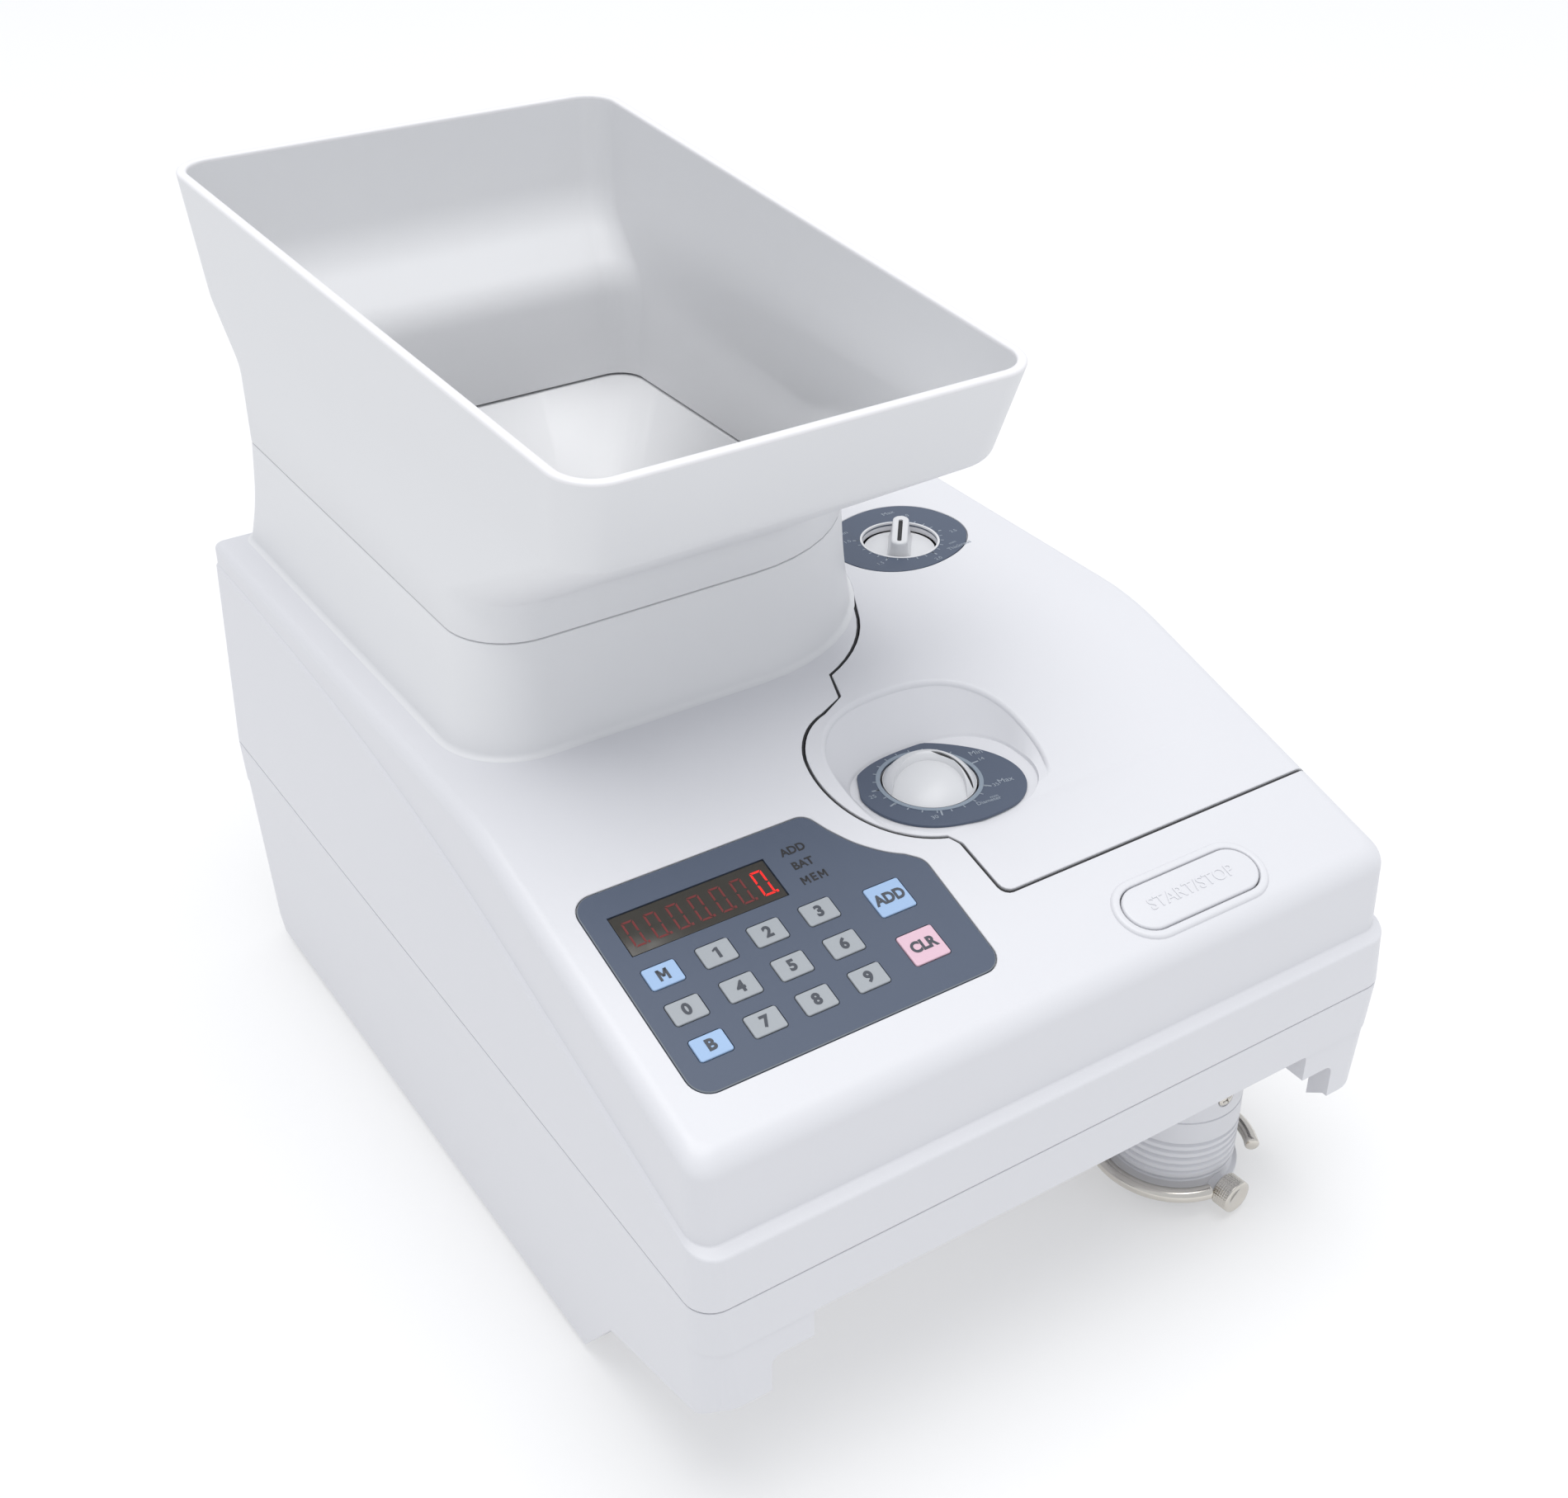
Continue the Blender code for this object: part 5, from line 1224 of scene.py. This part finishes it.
def annulus(name, centre, inner, outer, z0, z1, finish_name):
    section = ((outer, z0), (outer, z1), (inner, z1), (inner, z0))
    return sleeve(name, [ring(circle(centre, r, 96), z) for r, z in section], finish_name, 30)


def dial_print(name, centre, z, inner, ticks, words):
    """Radial marks and words round a dial.

    Each tick is (degrees, length), and each word (text, size, radius, degrees, own turn).
    """
    bm = bmesh.new()
    for degrees, length in ticks:
        a = math.radians(degrees)
        start, end = on_circle(centre, inner, a), on_circle(centre, inner + length, a)
        bars(bm, point, [stroke(start, end, 0.34 if length < 1.6 else 0.5)], z - 0.1, z + 0.06)
    for text, size, radius, degrees, turn in words:
        x, y = on_circle(centre, radius, math.radians(degrees))
        letters(bm, text, flat_frame(x, y, z, math.radians(turn)), size, low=-0.1, high=0.06)
    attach(piece(name, bm, "dial_print", 30), "cover")


def make_dials():
    """Printed plates of both dials, with their marks and the rings round the knobs."""
    floor = BOWL_FLOOR_Z + GAP / 2
    plate = prism("diameter_plate", diameter_plate_outline(), floor, floor + 0.8, "film", edge=0.2)
    carve(plate, hole(*DIAMETER_DIAL, 140, 160, DIAMETER_KNOB_R + 0.7))
    stand_for(settle(plate), "diameter_dial_plate", "cover")
    band = annulus("diameter_ring", DIAMETER_DIAL, DIAMETER_KNOB_R + 0.65, 15.5, floor + 0.5,
                   floor + 0.95, "dial_ring")
    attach(band, "cover")
    ticks = [(1, 2.4), (317, 2.4), (166, 2.4), (245, 2.4), (195, 2.4)]
    ticks += [(a, 1.1) for a in range(31, 317, 15)]
    words = [("Min", 2.1, 20.4, 12, -8), ("14", 1.5, 19.2, 2, -4), ("Max", 2.1, 21.8, -33, -8),
             ("35", 1.5, 19.0, -40, -4), ("25", 1.6, 18.7, 174, -6), ("30", 1.6, 18.6, 238, -6),
             ("Diameter", 1.5, 19.2, -66, -6), ("mm", 1.3, 19.6, -58, -6)]
    dial_print("diameter_marks", DIAMETER_DIAL, floor + 0.8, 15.4, ticks, words)

    plate = prism("thickness_plate", thickness_plate_outline(), TOP_Z - 0.9, TOP_Z, "film", edge=0.2)
    carve(plate, hole(*THICKNESS_DIAL, 160, 170, THICKNESS_HOLE_R))
    stand_for(settle(plate), "thickness_dial_plate", "cover")
    lip = annulus("thickness_ring", THICKNESS_DIAL, THICKNESS_HOLE_R - 0.02, 13.3, TOP_Z - 0.5,
                  TOP_Z + 0.15, "knob")
    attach(lip, "cover")
    ticks = [(150 + 67.5 * i, 2.2) for i in range(5)] + [(150 + 13.5 * i, 1.1) for i in range(21)]
    words = [("Min", 2.0, 19.6, 134, 0), ("1.0", 1.6, 17.6, 152, 0), ("1.5", 1.6, 18.4, 214, 0),
             ("2.0", 1.6, 18.0, 279, 0), ("2.5", 1.6, 19.4, -14, 0), ("3.0", 1.6, 17.8, 48, 0),
             ("Max", 2.0, 19.8, 66, 0), ("Thickness", 1.8, 20.0, -45, 6), ("mm", 1.4, 17.5, -40, 6)]
    dial_print("thickness_marks", THICKNESS_DIAL, TOP_Z, 13.6, ticks, words)


def make_diameter_knob():
    """Low dome with a crescent ridge round one side, and a dark arc sunk into the ridge."""
    x, y = DIAMETER_DIAL
    low = BOWL_FLOOR_Z + 0.6
    hub = (x - 4.8, y - 6.5)                # middle of the scoop and of the arc
    scoop_r, arc_r = 11.5, 12.9

    def dome(name, radius, height, base):
        ball = (radius ** 2 + height ** 2) / (2 * height)
        profile = [(0, base), (radius, base)]
        reach = math.asin(radius / ball)
        for k in range(22):
            a = reach * (1 - k / 21)
            profile.append((ball * math.sin(a), low + height - ball * (1 - math.cos(a))))
        return turned(name, profile, point(x, y, 0), finish="knob")

    stem = [(0, 112), (4, 112), (4, low - 3), (DIAMETER_KNOB_R, low - 1), (DIAMETER_KNOB_R, low + 0.2),
            (0, low + 0.2)]
    knob = turned("diameter_dome", stem, point(x, y, 0), finish="knob")
    carve(knob, dome("low", DIAMETER_KNOB_R, 5.4, low - 0.6), "UNION")
    ridge = dome("ridge", DIAMETER_KNOB_R, 8.0, low - 0.6)
    scoop = ((-0.9, -2), (-0.9, 2.0), (-0.45, 4.6), (-0.1, 5.9), (0.5, 6.9), (1.5, 7.5), (3.5, 8.1),
             (3.5, 12))
    carve(ridge, loft("scoop", [ring(circle(hub, scoop_r + grow, 96), low + z) for grow, z in scoop]))
    carve(knob, ridge, "UNION")

    def arc(half_width):
        """Curved slot that tapers off at both ends."""
        sides = []
        for side in (half_width, -half_width):
            line = []
            for k in range(33):
                t = k / 32
                taper = min(1.0, 6 * t, 6 * (1 - t)) ** 0.5 if 0 < t < 1 else 0.0
                radius = arc_r - 0.5 * math.sin(math.pi * t) + side * taper
                line.append(on_circle(hub, radius, math.radians(blend(54, -20, t))))
            sides.append(line)
        return sides[0] + sides[1][-2:0:-1]

    carve(knob, prism("slot", arc(0.7), low + 0.4, low + 14))
    line = dome("diameter_pointer", DIAMETER_KNOB_R - 0.35, 7.65, low - 0.4)
    carve(line, prism("slot", arc(0.65), low + 0.5, low + 14), "INTERSECT")
    line.data.materials.clear()
    line.data.materials.append(FINISHES["label_black"])
    stand_for(settle(knob, 40), "diameter_knob", "diameter_dial")
    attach(line, "diameter_dial")


def make_thickness_knob():
    """Disc with a rounded finger bar across it and a dark pointer slot along the bar."""
    x, y = THICKNESS_DIAL
    floor = TOP_Z - 2.6
    profile = [(0, 132.6), (4, 132.6), (4, floor - 4), (12.1, floor - 2.5), (12.1, floor - 0.7),
               (11.8, floor - 0.3), (0, floor + 0.6)]
    knob = turned("thickness_disc", profile, point(x, y, 0), finish="knob")
    turn = math.radians(52)
    rings = []
    for grow, z in ((1.3, -0.6), (0.9, 0.2), (0.55, 1.0), (0.2, 2.4), (0.0, 3.6), (-0.25, 5.6)):
        rings.append(ring(turned_plan(obround(10.5 + grow * 0.8, 3.0 + grow), (x, y), turn), floor + z))
    for aside, down in list(rounding(0.8, 5))[1:]:
        plan = turned_plan(obround(10.3 - aside, 2.75 - aside), (x, y), turn)
        rings.append(ring(plan, floor + 6.6 - down))
    carve(knob, loft("bar", rings), "UNION")
    middle = on_circle((x, y), 0.8, turn + math.pi)
    carve(knob, prism("slot", turned_plan(obround(7.9, 0.72), middle, turn), floor + 5.4, floor + 12))
    stand_for(settle(knob, 40), "thickness_knob", "thickness_dial")
    line = prism("thickness_pointer", turned_plan(obround(7.85, 0.68), middle, turn), floor + 4.8,
                 floor + 6.1, "label_black")
    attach(line, "thickness_dial")


# ====================================================================================================
# Outlet
# ====================================================================================================
def make_outlet():
    """Bag tube under the raised front, with its wire clamp ring, thumb screw and fixing screw."""
    centre = point(*TUBE, 0)
    top = 117.7
    profile = [(TUBE_R, top), (TUBE_R, 38.2), (TUBE_R - 0.05, 37.9), (TUBE_R - 0.45, 37.7),
               (TUBE_R - 0.45, 37.4), (TUBE_R - 0.05, 37.2), (TUBE_R, 36.9)]
    for i in range(RIBS):
        z = RIBS_TOP_Z - RIB_PITCH * i
        for k in range(7):
            t = k / 6
            profile.append((TUBE_R + 0.12 - 1.0 * math.sin(math.pi * t) ** 2, z - 1.5 * t))
    profile += [(TUBE_R - 0.1, 13.6), (TUBE_R - 0.5, 9.2), (TUBE_R, 8.4), (21.6, 8.1), (22, 7.7), (22, 5.5),
                (21.6, TUBE_BOTTOM_Z), (TUBE_BORE_R + 0.5, TUBE_BOTTOM_Z), (TUBE_BORE_R, 5.5),
                (TUBE_BORE_R, top)]
    tube = turned("coin_tube", profile, centre, finish="shell", steps=128, closed=True)
    way = Vector((math.cos(CLAMP_ANGLE), math.sin(CLAMP_ANGLE), 0))
    clamp = point(*TUBE, CLAMP_Z)
    profile = [(0, TUBE_R - 1.5), (3.6, TUBE_R - 1.5), (3.4, 22.6), (3.1, BOSS_END), (0, BOSS_END)]
    carve(tube, turned("boss", profile, clamp, way, steps=48), "UNION")
    profile = [(0, TUBE_BORE_R + 0.6), (2.2, TUBE_BORE_R + 0.6), (2.2, 30), (0, 30)]
    carve(tube, turned("bore", profile, clamp, way, steps=32))
    side = Vector((math.cos(SCREW_ANGLE), math.sin(SCREW_ANGLE), 0))
    seat = point(*TUBE, SCREW_Z)
    profile = [(0, TUBE_R - 1.6), (1.6, TUBE_R - 1.6), (3.3, TUBE_R - 0.3), (3.6, 26), (0, 26)]
    carve(tube, turned("seat", profile, seat, side, steps=48))
    stand_for(settle(tube, 30), "bag_tube", "frame")

    head = [(0, TUBE_R - 1.4), (1.5, TUBE_R - 1.4), (2.9, TUBE_R - 0.4), (2.9, TUBE_R - 0.1),
            (2.2, TUBE_R + 0.35), (1.2, TUBE_R + 0.6), (0, TUBE_R + 0.7)]
    screw = turned("tube_screw", head, seat, side, "nickel", 48)
    across = Vector((0, 0, 1)).cross(side)
    for turn in (20, 110):
        c, s = math.cos(math.radians(turn)), math.sin(math.radians(turn))
        length, width = across * c + Vector((0, 0, s)), across * -s + Vector((0, 0, c))
        carve(screw, box("cross", (-1.9, 1.9), (-0.35, 0.35), (TUBE_R - 0.4, TUBE_R + 2),
                         place=lambda u, v, w: seat + (length * u + width * v + side * w) * MM))
    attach(screw, "frame")

    path = []
    for i in range(97):
        a = blend(RING_START, RING_END, i / 96)
        flare = max(0.0, i / 96 - 0.85) / 0.15
        path.append((*on_circle(TUBE, RING_R + 1.6 * flare, a), RING_Z + 1.2 * flare))
    stand_for(tube_along("clamp_ring", path, RING_ROD_R, "nickel"), "bag_clamp_ring", "frame")

    face = BOSS_END + GAP
    lines = 20

    def knurl(a, h):
        ends = min(max((h - face - 0.5) / 0.5, 0), 1) * min(max((face + 5.8 - h) / 0.5, 0), 1)
        return -0.28 * ends * (0.5 - 0.5 * math.cos(lines * (a + h * 0.2)) * math.cos(lines * (a - h * 0.2)))

    profile = [(0, TUBE_BORE_R + 0.9), (1.9, TUBE_BORE_R + 0.9), (1.9, face), (5.0, face), (5.5, face + 0.4)]
    profile += [(5.6, face + 0.6 + 5.1 * k / 24) for k in range(25)]
    profile += [(5.5, face + 5.95), (5.0, face + 6.2), (3.6, face + 6.2), (3.3, face + 6.0), (0, face + 6.0)]
    stand_for(turned("thumb_screw_head", profile, clamp, way, "nickel", 200, 50, knurl), "clamp_thumb_screw",
              "thumb_screw")


# ====================================================================================================
# Feet and electrics
# ====================================================================================================
def make_feet():
    for name, x, y in (("front_left", -95, 98), ("front_right", 95, 98), ("rear_left", -95, 292),
                       ("rear_right", 95, 292)):
        top = REAR_FLOOR_Z - GAP
        profile = [(0, top), (9, top), (8.5, 1.2), (8.2, 0.4), (7.5, 0), (5.2, 0), (4.8, 0.5), (4.6, 2.0),
                   (0, 2.0)]
        foot = turned("pad_" + name, profile, point(x, y, 0), finish="rubber", steps=64)
        stand_for(foot, "foot_" + name, "frame")


def make_electrics():
    """Mains inlet, power switch and fuse cap on the rear panel."""
    back = BODY_DEPTH + GAP

    def plate(name, x0, x1, z0, z1, radius, depth, edge):
        plan = fillet([(x0, z0), (x1, z0), (x1, z1), (x0, z1)], (radius,) * 4, 6)
        return prism(name, plan, back, back + depth, "black_plastic", 40, from_front, edge)

    inlet = plate("mains_inlet", -92, -58, 25, 51, 3.0, 2.2, 0.5)
    body = box("body", (-88.7, -61.3), (28.3, 47.7), (BODY_DEPTH - 18, back + 1), place=from_front)
    carve(inlet, body, "UNION")
    socket = fillet([(-86.7, 30.3), (-63.3, 30.3), (-63.3, 41.5), (-67.5, 45.7), (-82.5, 45.7),
                     (-86.7, 41.5)], (1.2,) * 6, 4)
    carve(inlet, prism("socket", socket, BODY_DEPTH - 15, back + 5, place=from_front))
    stand_for(settle(inlet), "power_inlet", "frame")
    bm = bmesh.new()
    for x, z in ((-82.0, 36.2), (-75.0, 39.8), (-68.0, 36.2)):
        rings = []
        for u, w, radius, y in ((1, 2, 0.3, BODY_DEPTH - 15.5), (1, 2, 0.3, BODY_DEPTH - 2.4),
                                (0.6, 1.6, 0.2, BODY_DEPTH - 1.8)):
            plan = fillet([(x - u, z - w), (x + u, z - w), (x + u, z + w), (x - u, z + w)], (radius,) * 4, 3)
            rings.append(ring(plan, y))
        add_stack(bm, rings, from_front)
    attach(piece("inlet_pins", bm, "nickel", 40), "frame")

    bezel = plate("switch_bezel", -51, -27, 27, 45, 1.5, 2.0, 0.5)
    body = box("body", (-48.7, -29.3), (29.3, 42.7), (BODY_DEPTH - 16, back + 1), place=from_front)
    carve(bezel, body, "UNION")
    carve(bezel, box("room", (-47, -31), (30.5, 41.5), (BODY_DEPTH - 8, back + 5), place=from_front))
    stand_for(settle(bezel), "switch_frame", "frame")
    rocker = [(back - 4.5, 33.5), (back - 4.5, 38.5), (back + 2.0, 40.5)]
    rocker += [(back + 2.2 + 0.75 * (1 - ((z - 36) / 4.3) ** 2), z)
               for z in (40.3, 39, 37.5, 36, 34.5, 33, 31.7)]
    rocker += [(back + 2.0, 31.5)]
    made = prism("rocker_cap", rocker, -46.6, -31.4, "black_plastic", 25, place=from_side)
    stand_for(made, "power_switch", "rocker")
    bm = bmesh.new()
    bars(bm, from_front, [stroke((-39, 32.7), (-39, 34.7), 0.5)], back + 2.2, back + 2.75)
    section = ((1.1, back + 2.2), (1.1, back + 2.78), (0.7, back + 2.78), (0.7, back + 2.2))
    add_band(bm, [ring(circle((-39, 38.4), r, 32), y) for r, y in section], from_front)
    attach(piece("rocker_marks", bm, "shell", 40), "rocker")

    def grip(a, h):
        return -0.25 * (0.5 + 0.5 * math.cos(24 * a)) if 0.2 < h < 3.6 else 0.0

    profile = [(0, -14.0), (5.4, -14.0), (5.4, 0.0), (7.0, 0.0), (7.0, 0.3), (6.9, 0.6)]
    profile += [(6.9 - 0.25 * k / 6, 0.6 + 2.9 * k / 6) for k in range(1, 7)]
    profile += [(6.4, 4.1), (6.0, 4.5), (0, 4.5)]
    cap = turned("fuse_holder_cap", profile, point(-11, back, 36), (0, 1, 0), "black_plastic", 144, 45, grip)
    carve(cap, box("slot", (-15.5, -6.5), (35.4, 36.6), (back + 3.4, back + 6), place=from_front))
    stand_for(settle(cap, 45), "fuse_cap", "fuse")


# ====================================================================================================
# Studio
# ====================================================================================================
def make_studio():
    """Pale floor with a faint glow, even sky, one large soft light and the camera."""
    bpy.ops.mesh.primitive_grid_add(x_subdivisions=8, y_subdivisions=8, size=6.0, location=(0, 0, 0))
    floor = bpy.context.object
    floor.name = "studio_floor"
    finish("paper", (0.56, 0.56, 0.562), 0.9, mottle=0.003, grain_size=3.0, glow=((1.0, 1.0, 1.0), 0.38))
    floor.data.materials.append(FINISHES["paper"])

    world = bpy.data.worlds.new("studio")
    world.use_nodes = True
    world.node_tree.nodes["Background"].inputs["Color"].default_value = (0.93, 0.955, 1.0, 1.0)
    world.node_tree.nodes["Background"].inputs["Strength"].default_value = 0.77
    bpy.context.scene.world = world

    lamp = bpy.data.lights.new("key", "AREA")
    lamp.shape = "DISK"
    lamp.size = LIGHT_SIZE
    lamp.energy = LIGHT_POWER
    lamp.color = (1.0, 0.99, 0.975)
    key = bpy.data.objects.new("key", lamp)
    key.location = LIGHT_AT
    key.rotation_euler = (Vector(LIGHT_TARGET) - Vector(LIGHT_AT)).to_track_quat("-Z", "Y").to_euler()
    bpy.context.scene.collection.objects.link(key)

    lens = bpy.data.cameras.new("camera")
    lens.lens, lens.sensor_width = FOCAL_LENGTH, SENSOR_WIDTH
    lens.clip_start, lens.clip_end = 0.01, 20.0
    camera = bpy.data.objects.new("camera", lens)
    camera.location = CAMERA_AT
    camera.rotation_euler = (CAMERA_TILT, 0.0, CAMERA_TURN)
    bpy.context.scene.collection.objects.link(camera)
    bpy.context.scene.camera = camera
    bpy.context.scene.view_settings.view_transform = "Standard"


# ====================================================================================================
# The machine
# ====================================================================================================
make_finishes()
dress_frame()
make_upper_shell()
make_cover()
make_gap_shade_strip()
make_base()
make_rear_panel()
make_collar()
make_tray()
make_funnel()
make_feed_disc()
make_keypad()
make_keys()
make_start_button()
make_dials()
make_diameter_knob()
make_thickness_knob()
make_outlet()
make_feet()
make_electrics()
make_studio()

bpy.context.view_layer.update()
